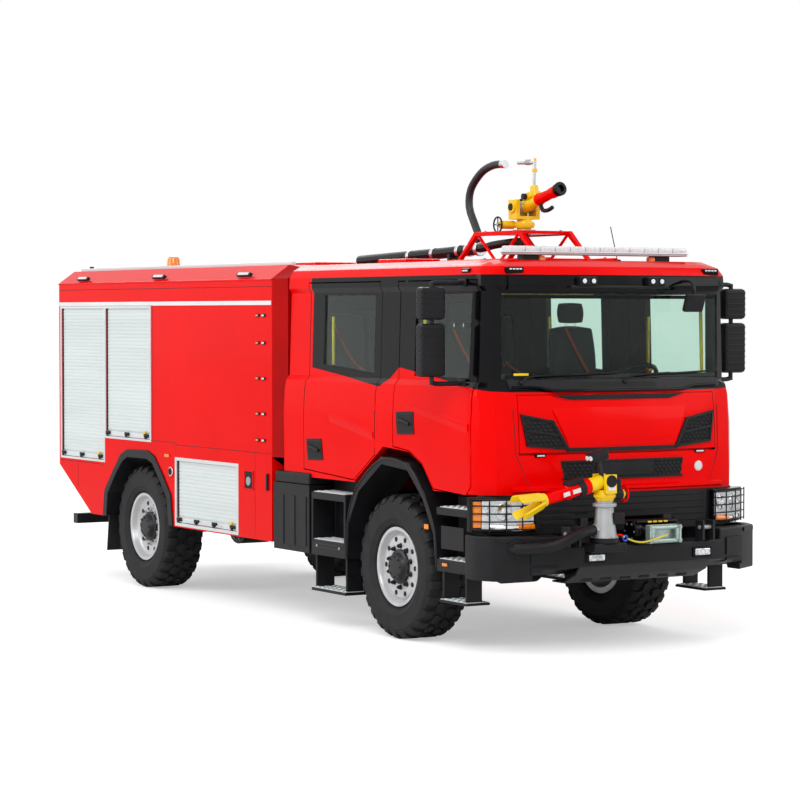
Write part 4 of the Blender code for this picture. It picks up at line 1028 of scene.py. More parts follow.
def tread_plate(work, x, y, z, holes=(7, 3)):
    """A perforated metal tread with turned-up edges, its holes dark discs of painted shade; y is a sorted
    pair.
    """
    work.take(block(x, y, (z, z + 0.006), 0.002), ALUMINIUM)
    nx, ny = holes
    for i in range(nx):
        for j in range(ny):
            cx = x[0] + (i + 0.5) * (x[1] - x[0]) / nx
            cy = y[0] + (j + 0.5) * (y[1] - y[0]) / ny
            work.take(peg("z", (z + 0.004, z + 0.0075), cx, cy, 0.016, 10), SHADE_AND_JOINT_DARK)
            work.take(turned(((0.006, 0.016), (0.006, 0.021), (0.010, 0.019), (0.010, 0.016)), (cx, cy, z),
                             "z", 10), ALUMINIUM)


SIDE_FACE = 1.249


def low_sides():
    for name, side in SIDES:
        for which in ("step_box", "side_tank", "front_fender", "mud_flap"):
            refined(f"{name}_{which}", 0.006 if which != "mud_flap" else 0.002)
        work = Work()
        box_low, box_high = span(f"{name}_step_box")
        edge = 1.248

        def across(inner, outer):
            return sorted((side * inner, side * outer))

        for z in (1.125, 0.725):
            tread_plate(work, (box_low.x + 0.035, box_high.x - 0.035), across(1.04, edge - 0.006), z)
        tread_plate(work, (box_low.x + 0.01, box_high.x - 0.01), across(1.02, edge - 0.004), 0.315)
        for z in (1.12, 0.717):
            tread_plate(work, (0.80, 1.20), across(1.06, edge - 0.006), z, (5, 3))
        tread_plate(work, (0.81, 1.19), across(1.04, edge - 0.006), 0.40, (5, 3))
        # ribs on the tank, a box with a cap above it, strips and studs on the step box
        tank_low, tank_high = span(f"{name}_side_tank")
        for i in range(3):
            x = tank_low.x + 0.12 + i * 0.20
            work.take(side_block(side, (x, x + 0.07), (SIDE_FACE, 1.256),
                                 (tank_low.z + 0.05, tank_high.z - 0.10), 0.004), BLACK)
        work.take(side_block(side, (tank_low.x + 0.01, tank_high.x - 0.01), (1.00, 1.245),
                             (tank_high.z, tank_high.z + 0.10), 0.02), BLACK)
        work.take(peg("z", (tank_high.z + 0.09, tank_high.z + 0.125), tank_high.x - 0.14, side * 1.10, 0.055,
                      24, 0.008), BLACK)
        for z in (0.66, 0.69):
            work.take(side_block(side, (box_low.x + 0.05, box_high.x - 0.05), (SIDE_FACE, 1.253),
                                 (z, z + 0.008), 0.002), STEEL)
        for x in (box_low.x + 0.10, box_high.x - 0.10):
            work.take(peg("y", (side * SIDE_FACE, side * 1.256), x, 0.675, 0.012, 14, 0.002), CAST)
        # rolled lip of the wheel arch and the marker on it
        lip = [(x, side * 1.245, z) for x, z in ((-0.668, 0.62), (-0.640, 0.93), (-0.49, 1.20),
                                                 (-0.10, 1.445), (0.33, 1.412), (0.565, 1.20), (0.728, 0.92),
                                                 (0.760, 0.665))]
        work.take(tube(lip, 0.012, 10, 0.05), BLACK)
        for *spec, look in (((0.590, 0.650), (SIDE_FACE, 1.262), (0.935, 0.975), 0.006, AMBER),
                            ((0.84, 1.17), (SIDE_FACE, 1.256), (0.80, 0.98), 0.006, BLACK),
                            ((0.86, 0.93), (1.250, 1.262), (0.665, 0.69), 0.005, AMBER)):
            work.take(side_block(side, *spec), look)
        # stay behind the mud flap
        work.take(side_block(side, (-5.452, -5.428), (0.82, 1.19), (0.885, 0.905), 0.003), STEEL)
        work.piece(f"{name}_step_trim", "truck", "black_plastic")


def springs_and_axles():
    for node in ("chassis_frame", "front_axle", "rear_axle", "powertrain", "rear_underrun"):
        refined(node, 0.004)
    for name, _ in SIDES:
        refined(f"{name}_knuckle", 0.004)
    work = Work()
    for end in ("front", "rear"):
        axle_x = JOINTS[f"{end}_right_wheel_spin"]["pos_m"][0] - ORIGIN.x
        for _, side in SIDES:
            for i in range(3):
                z = AXLE_Z + 0.058 - 0.016 * i
                reach = 0.60 - 0.14 * i
                work.take(side_block(side, about(axle_x, reach), (0.368, 0.432), (z - 0.014, z), 0.003),
                          STEEL)
            for x in about(axle_x, 0.07):
                work.take(peg("z", (AXLE_Z - 0.02, AXLE_Z + 0.155), x, side * 0.352, 0.011, 10), STEEL)
                work.take(peg("z", (AXLE_Z - 0.02, AXLE_Z + 0.155), x, side * 0.448, 0.011, 10), STEEL)
            work.take(peg("z", (AXLE_Z + 0.02, 1.02), axle_x + 0.20, side * 0.50, 0.030, 16, 0.006), RUBBER)
            work.take(peg("z", (AXLE_Z - 0.06, AXLE_Z + 0.20), axle_x + 0.20, side * 0.50, 0.038, 16, 0.006),
                      STEEL)
        if end == "rear":
            for du, dv in ring_of(10, 0.165):
                work.take(nut((axle_x + du, -0.16, AXLE_Z + dv), (0, -1, 0), 0.011, 0.010), CAST)
    for x in (-2.9, -3.2):
        work.take(peg("y", (-0.70, -0.44), x, 0.93, 0.11, 24, 0.012), STEEL)
    work.piece("spring_leaves", "truck", "dark_steel")


# ---------------------------------------------------------------- front end


GUARD_WIRE = 0.0055


def headlamps():
    """Three bowls behind a clear lens, an amber corner and a strip in a black box, with a wire guard."""
    for name, side in SIDES:
        node = f"{name}_headlamp"
        low, high = span(node)
        work = Work()
        plan = ((1.335, 1.185), (1.462, 0.985), (1.50, 0.845), (1.548, 0.845), (1.520, 1.00), (1.420, 1.205),
                (1.335, 1.295), (1.275, 1.295), (1.275, 1.185))
        work.take(prism([(x, side * y) for x, y in plan], "z", low.z, high.z, 0.010), GLOSS_BLACK)
        clear = ((1.350, 1.17), (1.468, 0.985), (1.506, 0.862), (1.555, 0.862), (1.528, 1.00), (1.429, 1.20),
                 (1.395, 1.236), (1.35, 1.21))
        work.take(prism([(x, side * y) for x, y in clear], "z", 0.985, low.z + 0.9 * (high.z - low.z), 0.008),
                  LENS)
        corner = ((1.33, 1.21), (1.395, 1.237), (1.345, 1.292), (1.29, 1.27))
        work.take(prism([(x, side * y) for x, y in corner], "z", 0.995, low.z + 0.88 * (high.z - low.z),
                        0.008), AMBER)
        face = ((1.535, 0.93), (1.490, 1.09), (1.415, 1.195))
        for (x, y), radius in zip(face, (0.062, 0.070, 0.045)):
            way = Vector((0.94, side * 0.34, 0)) if y < 1.2 else Vector((0.6, side * 0.8, 0))
            start = Vector((x, side * y, 1.125)) - way * 0.035
            work.take(rod(start, start + way * 0.045, radius, 32, 0.006), CHROME)
            work.take(rod(start + way * 0.040, start + way * 0.050, radius * 0.88, 32, 0.004), BOWL)
            work.take(ball(start + way * 0.046, radius * 0.42, (0.5, 1, 1)), LENS)
        strip = [(1.548, side * 0.86, 1.00), (1.535, side * 0.98, 0.995), (1.49, side * 1.09, 1.0),
                 (1.43, side * 1.18, 1.01)]
        work.take(tube(strip, 0.022, 10), CHROME)
        strip = [(1.552, side * 0.865, 1.005), (1.545, side * 0.92, 1.0), (1.530, side * 1.0, 1.0)]
        work.take(tube(strip, 0.026, 10), AMBER)
        for z in (0.985, 1.045, 1.105, 1.165, 1.215):
            route = [(x, side * y, z) for x, y in
                     ((1.572, 0.845), (1.568, 0.93), (1.535, 1.06), (1.46, 1.19), (1.36, 1.30))]
            work.take(tube(route, GUARD_WIRE, 8), BLACK)
        for x, y in ((1.574, 0.85), (1.560, 0.97), (1.522, 1.09), (1.452, 1.20), (1.362, 1.30)):
            work.take(peg("z", (low.z + 0.005, high.z - 0.005), x, side * y, GUARD_WIRE, 8), BLACK)
        work.piece(f"{node}_unit", "truck", "lamp_glass", (node,))


def bumper_details():
    refined("front_bumper", 0.012)
    refined("front_fascia", 0.008)
    work = Work()
    for _, side in SIDES:
        # flat oblong lamps and the outer plates
        spot = drape(BUMPER_SKIN, "front", side * 0.50, 0.775, 0.0)
        for half, high, reach, finish_ in ((0.092, 0.040, 0.012, GLOSS_BLACK), (0.074, 0.027, 0.018, BOWL)):
            work.take(block((spot.x - 0.01, spot.x + reach), about(spot.y, half),
                            about(spot.z, high), min(0.010, high / 2)), finish_)
        for dy in (-0.036, 0.0, 0.036):
            work.take(rod(spot + Vector((0.012, dy, 0)), spot + Vector((0.022, dy, 0)), 0.015, 16, 0.003),
                      LENS)
        for y, z, wide, high in ((0.90, 0.80, 0.10, 0.07), (0.90, 0.68, 0.10, 0.03)):
            quad = oblong(side * (y - wide), side * (y + wide), z - high, z + high)
            work.take(patch(BUMPER_SKIN, "front", quad, 0.008, 4, 3), BLACK)
        quad = oblong(side * 1.05, side * 1.22, 0.90, 0.93)
        work.take(patch(BUMPER_SKIN, "front", quad, 0.006, 4, 1), BLACK)
        # towing eye bracket
        y = -0.72 if side < 0 else 0.54
        for dy in (-0.05, 0.05):
            work.take(block((1.80, 1.90), about(y + dy, 0.010), (0.865, 1.02), 0.006), STEEL)
        work.take(peg("y", about(y, 0.07), 1.86, 0.965, 0.016, 16, 0.003), CAST)
        # dark strip under the middle
        work.take(tube([drape(BUMPER_SKIN, "front", side * yy, 0.645, 0.004) for yy in (0.15, 0.35, 0.55)],
                       0.010, 8), SHADE_AND_JOINT_DARK)
    for i in range(9):
        y = -0.48 + i * 0.12
        work.take(block((1.40, 1.62), about(y, 0.018), (0.628, 0.640), 0.004), SHADE_AND_JOINT_DARK)
    plate = prism(((1.44, 0.56), (1.60, 0.56), (1.76, 0.63), (1.83, 0.715), (1.815, 0.725), (1.745, 0.645),
                   (1.595, 0.575), (1.44, 0.575)), "y", -0.62, 0.62, 0.004)
    work.take(plate, STEEL)
    for y in (-0.45, -0.27, -0.09, 0.09, 0.27, 0.45):
        work.take(peg("y", about(y, 0.045), 1.66, 0.592, 0.017, 14, 0.004), SHADE_AND_JOINT_DARK)
    # black cover band between bumper and cab, with cooling slots over a dark backing of painted shade
    for z in (1.00, 1.05, 1.10, 1.15, 1.20):
        quad = oblong(-0.78, 0.78, z, z + 0.026)
        work.take(patch(BUMPER_SKIN, "front", quad, 0.010, 10, 1), BLACK)
    work.take(patch(BUMPER_SKIN, "front", oblong(-0.80, 0.80, 0.985, 1.232), 0.002, 10, 2), SHADE_AND_JOINT_DARK)
    work.piece("bumper_fittings", "truck", "black_plastic")


WINCH_ROPE = ((1.955, 0.10, 0.93), (1.968, 0.06, 0.925), (1.972, -0.02, 0.905), (1.965, -0.12, 0.885),
              (1.958, -0.20, 0.890), (1.945, -0.27, 0.915))
ROPE_WIDE = 0.013


def winch():
    low, high = span("winch")
    work = Work()
    work.take(block((1.68, 1.90), (low.y + 0.002, high.y - 0.002), (low.z + 0.001, 0.888), 0.004), STEEL)
    drum_x, drum_z = 1.79, 0.955
    work.take(peg("y", (low.y + 0.03, high.y - 0.03), drum_x, drum_z, 0.045, 28), STEEL)
    for i in range(20):
        y = -0.052 + i * 0.0127
        strand = [(y + du, 0.052 + dv) for du, dv in ring_of(6, 0.0062)]
        work.take(turned(strand, (drum_x, 0, drum_z), "y", 24), STEEL)
    for y0, y1, radius in ((low.y, -0.065, 0.083), (0.215, high.y, 0.083)):
        work.take(peg("y", (y0, y1), drum_x, drum_z, radius, 32, 0.010), GLOSS_BLACK)
        face, outer = (y0, y0 - 0.004) if y0 < 0 else (y1, y1 + 0.004)
        for du, dv in ring_of(6, 0.062):
            work.take(peg("y", (face, outer), drum_x + du, drum_z + dv, 0.008, 8), CAST)
    work.take(block((1.72, 1.86), (low.y + 0.02, high.y - 0.02), (1.018, high.z - 0.002), 0.010), BLACK)
    for y in (0.0, 0.05, 0.10, 0.15):
        work.take(block((1.855, 1.866), about(y, 0.018), (1.02, 1.034), 0.003), YELLOW)
    # roller fairlead
    for z in (0.885, 0.985):
        work.take(peg("y", (-0.045, 0.215), 1.930, z, 0.016, 18, 0.003), ZINC)
    for y in (-0.055, 0.225):
        work.take(block((1.895, 1.955), about(y, 0.010), (0.865, 1.005), 0.004), ZINC)
        for z in (0.885, 0.985):
            work.take(nut((1.955, y, z), (1, 0, 0), 0.011, 0.008), ZINC)
    for y in (-0.03, 0.20):
        work.take(peg("z", (0.890, 0.980), 1.945, y, 0.014, 18, 0.003), ZINC)
    work.take(block((1.890, 1.900), (-0.06, 0.23), (0.862, 1.006), 0.003), ZINC)
    work.piece("winch_unit", "truck", "dark_steel", ("winch",))


def winch_rope():
    route = smooth_route(WINCH_ROPE, 0.02)
    rope, length = curve_along("winch_rope", route, ROPE_WIDE, 4, ROPE)
    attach(rope, "truck")
    end = route[-1]
    hook = Work()
    thimble = [(0.010 * du, 0.020 + 0.007 * dv) for du, dv in ring_of(8, 1)]
    hook.take(turned(thimble, end + Vector((0, -0.022, 0.004)), "x", 20), BLUE)
    base = end + Vector((0, -0.045, 0.005))
    shape = [base + Vector(p) for p in ((0, 0, 0.02), (0.002, -0.030, 0.026), (0.002, -0.070, 0.020),
                                        (0.002, -0.092, -0.008), (0.002, -0.078, -0.034), (0, -0.050, -0.038),
                                        (0, -0.034, -0.022))]
    hook.take(tube(shape, 0.0085, 12, 0.01), RED)
    hook.take(rod(base + Vector((-0.016, 0.004, 0.012)), base + Vector((0.016, 0.004, 0.012)), 0.008, 12,
                  0.002), CAST)
    end_piece = hook.piece("winch_hook", "truck", "red_paint")


MONITOR = Vector((1.90, -0.45, 1.36))
MONITOR_REST = math.radians(-13)


def handwheel(work, centre, way, radius, finish_, bars=4):
    """A rim on spokes, its axis along way."""
    centre, way = Vector(centre), Vector(way).normalized()
    place = Matrix.Translation(centre) @ way.to_track_quat("X", "Z").to_matrix().to_4x4()
    ring = [(du, radius + dv) for du, dv in ring_of(8, 0.007)]
    work.take(turned(ring, (0, 0, 0), "x", 32), finish_, place)
    for du, dv in ring_of(bars, radius):
        work.take(rod(centre, place @ Vector((0, du, dv)), 0.005, 8), finish_)
    work.take(rod(centre - way * 0.010, centre + way * 0.012, 0.014, 14, 0.002), CAST)


def pipe_rule(centre, normal):
    """The supply pipe is black, and its upright column bare casting."""
    return CAST if math.hypot(centre.x - MONITOR.x, centre.y
                              - MONITOR.y) < 0.115 and centre.z > 0.925 else BLACK


def bumper_monitor():
    refined("bumper_monitor_pipe", 0.003, (), pipe_rule, (CAST, BLACK))
    x, y, z = MONITOR
    base = Work()
    for du, dv in ring_of(6, 0.092):
        base.take(nut((x + du, y + dv, 0.93), (0, 0, 1), 0.010, 0.010), CAST)
    base.take(turned(((0, 0.070), (0, 0.090), (0.012, 0.092), (0.024, 0.090), (0.024, 0.066)), (x, y, 1.165),
                     "z", 32), CAST)
    for du, dv in ring_of(8, 0.080, 0.5):
        base.take(nut((x + du, y + dv, 1.187), (0, 0, 1), 0.007, 0.006), CAST)
    base.take(block((x + 0.03, x + 0.085), (y + 0.03, y + 0.13), (1.03, 1.12), 0.010), BLACK)
    base.piece("bumper_monitor_foot", "truck", "silver")
    refined("bumper_monitor_turret", 0.003)
    turret = Work()
    turret.take(turned(((0, 0.05), (0, 0.075), (0.010, 0.080), (0.032, 0.080), (0.044, 0.074), (0.044, 0.05)),
                       (x, y, 1.225), "z", 36), YELLOW)
    for du, dv in ring_of(24, 0.080):
        turret.take(peg("z", (1.238, 1.254), x + du, y + dv, 0.005, 6), YELLOW)
    turret.take(peg("y", (y + 0.05, y + 0.15), x, 1.255, 0.045, 24, 0.008), BLACK)
    handwheel(turret, (x, y + 0.178, 1.255), (0, 1, 0), 0.060, RED)
    for a in (-0.10, 0.085):
        turret.take(peg("x", (x + a, x + a + 0.015), y, z, 0.046, 24, 0.004), BLACK)
    turret.take(block(about(x, 0.085), (y + 0.052, y + 0.10), (1.285, 1.375), 0.012), BLACK)
    turret.take(block((x + 0.086, x + 0.092), (y - 0.03, y + 0.04), (1.29, 1.33), 0.002), LABEL)
    turret.piece("bumper_monitor_gear", "bumper_monitor_turret", "yellow")

    barrel = Work()
    tilt = turn_about(MONITOR, -MONITOR_REST, "X")
    turns = ((((0.04, 0.03), (0.04, 0.054), (0.15, 0.054), (0.16, 0.03)), YELLOW),
             (((0.15, 0.03), (0.155, 0.060), (0.20, 0.060), (0.21, 0.048), (0.33, 0.048), (0.335, 0.056),
               (0.36, 0.056), (0.365, 0.046), (0.56, 0.044), (0.57, 0.03)), RED),
             (((0.56, 0.03), (0.56, 0.050), (0.60, 0.050), (0.61, 0.03), (0.59, 0.02)), YELLOW))
    for profile, finish_ in turns:
        barrel.take(turned([(-a, r) for a, r in profile], (x, y, z), "y", 32), finish_, tilt)
    # four blades of the deflector
    for i in range(4):
        angle = math.tau * (i + 0.5) / 4
        spin = turn_about(Vector((x, 0, z)), angle, "Y")
        blade = prism(((y - 0.57, 0.040), (y - 0.60, 0.056), (y - 0.79, 0.098), (y - 0.815, 0.096),
                       (y - 0.80, 0.086), (y - 0.61, 0.038)), "x", -0.034, 0.034, 0.004)
        barrel.take(blade, YELLOW, tilt @ spin @ Matrix.Translation((x, 0, z)))
    barrel.take(peg("y", (y - 0.18, y - 0.26), x, z, 0.058, 24, 0.006), BLACK, tilt)
    for *spec, look in ((about(x, 0.035), (y - 0.36, y - 0.20), (z + 0.042, z + 0.085), 0.010, BLACK),
                        ((x + 0.040, x + 0.050), (y - 0.44, y - 0.20), about(z, 0.025), 0.003, RED),
                        ((x + 0.0505, x + 0.0525), (y - 0.42, y - 0.22), about(z, 0.016), 0.001, LABEL),
                        (about(x, 0.048), (y - 0.10, y + 0.055), (z + 0.162, z + 0.238), 0.014, BLACK)):
        barrel.take(block(*spec), look, tilt)
    for dx in (-0.022, 0.022):
        barrel.take(peg("y", (y - 0.096, y - 0.108), x + dx, z + 0.20, 0.019, 20, 0.003), LENS, tilt)
    barrel.take(block(about(x, 0.012), (y - 0.035, y - 0.005), (z + 0.03, z + 0.165), 0.003), STEEL, tilt)
    barrel.take(peg("x", about(x, 0.058), y, z, 0.044, 28, 0.004), CAST, tilt)
    barrel.piece("bumper_monitor_nozzle", "bumper_monitor_barrel", "red_paint", ("bumper_monitor_barrel",))


# ---------------------------------------------------------------- roof

ROOF_AXIS_X = 0.10
ROOF_DECK = 3.30
ROOF_PIVOT = 3.50
ROOF_REST = math.radians(14)
CAB_ROOF = 3.04


def pipe_z(x):
    """Height of the roof pipe's axis, which falls towards the rear."""
    return 3.17 + (x + 0.60) * 0.036


def roof_monitor():
    refined("roof_monitor_stand", 0.004)
    refined("roof_pipe", 0.0)
    refined("roof_monitor_turret", 0.003)
    stand = Work()
    for _, side in SIDES:
        stand.take(side_block(side, (-0.92, 0.95), (0.30, 0.34), (CAB_ROOF - 0.002, CAB_ROOF + 0.032), 0.006),
                   RED)
        for x in (-0.80, 0.0, 0.80):
            stand.take(nut((x, side * 0.32, CAB_ROOF + 0.032), (0, 0, 1), 0.012, 0.010), CAST)
        y = side * 0.24
        for x0, x1 in ((-0.22, 0.05), (0.38, 0.11)):
            stand.take(rod((x0, y, ROOF_DECK - 0.03), (x1, y, CAB_ROOF + 0.01), 0.013, 12), RED)
    for x in (-0.50, 0.66):
        stand.take(block(about(x, 0.02), (-0.34, 0.34), (CAB_ROOF, CAB_ROOF + 0.030), 0.006), RED)
    for x in (-0.18, 0.34):
        for y in (-0.2, 0.2):
            stand.take(nut((x, y, ROOF_DECK), (0, 0, 1), 0.012, 0.010), CAST)
    stand.take(turned(((0, 0.06), (0, 0.095), (0.014, 0.095), (0.014, 0.062)),
                      (ROOF_AXIS_X, 0, ROOF_DECK + 0.0005), "z", 32), CAST)
    # couplings and feet along the pipe, and a cable
    for x, radius in ((-0.88, 0.060), (-0.74, 0.056), (-0.58, 0.060), (-1.30, 0.056), (-1.70, 0.056)):
        z = pipe_z(x)
        stand.take(peg("x", about(x, 0.022), 0, z, radius, 28, 0.004), CHROME)
    for x in (-1.55, -1.0):
        z = pipe_z(x)
        stand.take(block(about(x, 0.02), (-0.055, 0.055), (CAB_ROOF - 0.002, z - 0.02), 0.004), STEEL)
    stand.take(tube([(-1.75, 0.16, 3.05), (-1.2, 0.17, 3.062), (-0.6, 0.20, 3.062), (-0.1, 0.14, 3.10),
                     (0.05, 0.05, 3.22)], 0.014, 10), RUBBER)
    stand.piece("roof_stand_fittings", "truck", "red_paint")

    x, z = ROOF_AXIS_X, ROOF_PIVOT
    turret = Work()
    turret.take(turned(((0, 0.05), (0, 0.080), (0.012, 0.084), (0.040, 0.084), (0.052, 0.078), (0.052, 0.05)),
                       (x, 0, 3.33), "z", 40), YELLOW)
    for du, dv in ring_of(26, 0.084):
        turret.take(peg("z", (3.345, 3.367), x + du, dv, 0.005, 6), YELLOW)
    turret.take(peg("y", (-0.07, -0.20), x - 0.05, 3.355, 0.034, 20, 0.006), YELLOW)
    handwheel(turret, (x - 0.05, -0.225, 3.355), (0, 1, 0), 0.062, BLACK)
    for side in (-1, 1):
        turret.take(peg("y", (side * 0.112, side * 0.132), x, z, 0.050, 28, 0.005), YELLOW)
        turret.take(peg("y", (side * 0.130, side * 0.140), x, z, 0.030, 20, 0.003), BLACK)
    turret.take(block((x - 0.11, x - 0.05), (-0.075, 0.075), (3.40, 3.50), 0.014), YELLOW)
    turret.piece("roof_monitor_gear", "roof_monitor_turret", "yellow")

    pivot = Vector((x, 0, z))
    tilt = turn_about(pivot, -ROOF_REST, "Y")
    barrel = Work()
    turns = ((((-0.072, 0.0), (-0.072, 0.020), (-0.060, 0.032), (0.02, 0.050), (0.14, 0.052), (0.16, 0.046),
               (0.24, 0.044), (0.25, 0.0)), YELLOW),
             (((0.22, 0.0), (0.22, 0.050), (0.24, 0.052), (0.26, 0.046), (0.42, 0.043), (0.43, 0.050),
               (0.50, 0.052), (0.51, 0.0)), RED),
             (((0.50, 0.0), (0.50, 0.044), (0.515, 0.056), (0.548, 0.058), (0.556, 0.054), (0.556, 0.030),
               (0.53, 0.024), (0.53, 0.0)), GLOSS_BLACK))
    for profile, finish_ in turns:
        barrel.take(turned(profile, (x, 0, z), "x", 32), finish_, tilt)
    barrel.take(peg("y", (-0.078, 0.078), x, z, 0.048, 28, 0.004), CAST, tilt)
    barrel.take(block((x + 0.06, x + 0.20), (-0.055, 0.055), (z + 0.030, z + 0.085), 0.014), YELLOW, tilt)
    barrel.take(peg("z", (z + 0.04, z + 0.13), x + 0.18, 0, 0.034, 22, 0.006), YELLOW, tilt)
    barrel.take(peg("y", (-0.052, -0.085), x + 0.12, z + 0.055, 0.026, 20, 0.004), BLACK, tilt)
    grip = [(x + 0.01, 0, z + 0.045), (x - 0.02, 0, z + 0.070), (x - 0.07, 0, z + 0.065),
            (x - 0.07, 0, z + 0.02)]
    barrel.take(tube(grip, 0.012, 10), BLACK, tilt)
    low_grip = [(x + 0.24, 0, z - 0.04), (x + 0.26, 0, z - 0.10), (x + 0.34, 0, z - 0.12),
                (x + 0.40, 0, z - 0.115)]
    barrel.take(tube(low_grip, 0.017, 12), BLACK, tilt)
    top = pivot + Matrix.Rotation(-ROOF_REST, 3, "Y") @ Vector((0.18, 0, 0.12))
    barrel.take(rod(top, (top.x + 0.01, 0, 3.872), 0.016, 16), CHROME)
    barrel.take(rod((top.x + 0.008, 0, 3.78), (top.x + 0.009, 0, 3.81), 0.022, 18, 0.003), YELLOW)
    barrel.take(rod((top.x + 0.018, 0, 3.861), (x - 0.085, 0, 3.870), 0.0175, 16), CHROME)
    barrel.take(rod((x + 0.09, 0, 3.865), (x + 0.03, 0, 3.867), 0.024, 18, 0.003), CAST)
    barrel.take(rod((top.x + 0.012, 0, 3.862), (top.x + 0.014, 0, 3.895), 0.012, 12, 0.002), YELLOW)
    barrel.piece("roof_monitor_nozzle", "roof_monitor_barrel", "red_paint", ("roof_monitor_barrel",))


HOSE = ((-0.60, 0, 3.2503), (-0.60, 0, 3.29), (-0.665, 0, 3.39), (-0.745, 0, 3.53), (-0.72, 0, 3.68),
        (-0.56, 0, 3.81), (-0.38, 0, 3.865), (-0.19, 0, 3.87))
HOSE_WIDE = 0.066


def roof_hose():
    route = smooth_route(HOSE, 0.05)
    hose, length = curve_along("monitor_hose", route, HOSE_WIDE, 6, RUBBER)
    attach(hose, "truck")
    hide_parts("roof_hose")
    ends = Work()
    ends.take(rod(route[0] + Vector((0, 0, 0.001)), route[0] + Vector((0, 0, 0.045)), 0.038, 24, 0.004),
              CHROME)
    ends.take(rod(route[-1] - Vector((0.045, 0, 0)), route[-1] + Vector((0.012, 0, 0)), 0.037, 24, 0.004),
              CHROME)
    clamps = ends.piece("monitor_hose_clamps", "truck", "silver")


def light_bar():
    low, high = span("light_bar")
    work = Work()
    work.take(block((low.x + 0.004, high.x - 0.004), (low.y + 0.01, high.y - 0.01), (3.083, 3.100), 0.006),
              CAST)
    work.take(block((low.x, high.x), (low.y, high.y), (3.100, 3.112), 0.004), ALUMINIUM)
    count = 12
    wide = (high.y - low.y - 0.02) / count
    for i in range(count):
        y = low.y + 0.01 + i * wide
        work.take(block((low.x + 0.004, high.x - 0.003), (y + 0.003, y + wide - 0.003), (3.110, high.z),
                        0.010), LENS)
    work.take(block((low.x + 0.02, high.x - 0.02), (low.y + 0.02, high.y - 0.02),
                    (high.z - 0.004, high.z + 0.002), 0.003), WHITE)
    for side in (-1, 1):
        work.take(side_block(side, (1.06, 1.16), (0.56, 0.70), (CAB_ROOF - 0.03, 3.088), 0.008), BLACK)
        work.take(side_block(side, (1.11, 1.165), (0.50, 0.555), (CAB_ROOF - 0.03, 3.078), 0.010), AMBER)
    work.piece("light_bar_unit", "truck", "lamp_glass", ("light_bar",))
    roof_ = Work()
    roof_.take(peg("z", (CAB_ROOF - 0.004, CAB_ROOF + 0.03), 0.55, 0.62, 0.028, 18, 0.006), BLACK)
    roof_.take(rod((0.55, 0.62, CAB_ROOF + 0.02), (0.45, 0.62, CAB_ROOF + 0.30), 0.004, 8), BLACK)
    roof_.take(block((-1.10, -0.62), (-0.70, -0.36), (CAB_ROOF - 0.003, CAB_ROOF + 0.045), 0.015), RED)
    roof_.piece("cab_roof_fittings", "truck", "black_plastic")


def mirrors():
    for name, side in SIDES:
        node = f"{name}_mirror"
        body = f"{name}_front_door"
        work = Work()
        for z0, z1 in ((2.58, 2.83), (2.14, 2.55)):
            work.take(side_block(side, (0.945, 1.058), (1.342, 1.558), (z0, z1), 0.028), BLACK)
            work.take(side_block(side, (0.940, 0.950), (1.362, 1.540), (z0 + 0.02, z1 - 0.02), 0.004), MIRROR)
            count = 5 if z1 > 2.6 else 8
            for i in range(count):
                z = z0 + 0.035 + (z1 - z0 - 0.07) * i / (count - 1)
                work.take(side_block(side, (1.040, 1.0605), (1.362, 1.538), about(z, 0.008), 0.005), BLACK)
                work.take(side_block(side, (0.965, 1.045), (1.550, 1.561), about(z, 0.006), 0.004), BLACK)
        work.take(peg("z", (2.08, 2.87), 1.0, side * 1.44, 0.018, 16), STEEL)
        for z, skin in ((2.0875, 1.18), (2.8625, 1.172)):
            elbow = [(1.03, side * (skin - 0.004), z), (1.02, side * 1.30, z), (1.0, side * 1.40, z),
                     (1.0, side * 1.44, z - 0.01 if z > 2.5 else z + 0.01)]
            work.take(tube(elbow, 0.019, 12), BLACK)
            work.take(side_block(side, (0.975, 1.085), (skin - 0.002, skin + 0.016), about(z, 0.035), 0.008),
                      BLACK)
        work.piece(f"{node}_unit", body, "black_plastic", (node,))
    hanging = Work()
    spot = cab_point(0.62, 2.88, 0.0)
    hanging.take(tube([spot, spot + Vector((0.12, 0, 0.0)), spot + Vector((0.165, 0, -0.05)),
                       spot + Vector((0.165, 0, -0.10))], 0.012, 10), BLACK)
    place = Matrix.Translation(spot + Vector((0.165, 0, -0.17))) @ Matrix.Rotation(0.35, 4, "Y")
    hanging.take(block((-0.022, 0.022), (-0.095, 0.095), (-0.075, 0.075), 0.020), BLACK, place)
    hanging.take(block((-0.026, -0.020), (-0.080, 0.080), (-0.060, 0.060), 0.003), MIRROR, place)
    hanging.piece("front_view_mirror", "truck", "black_plastic")


# ---------------------------------------------------------------- inside the cab


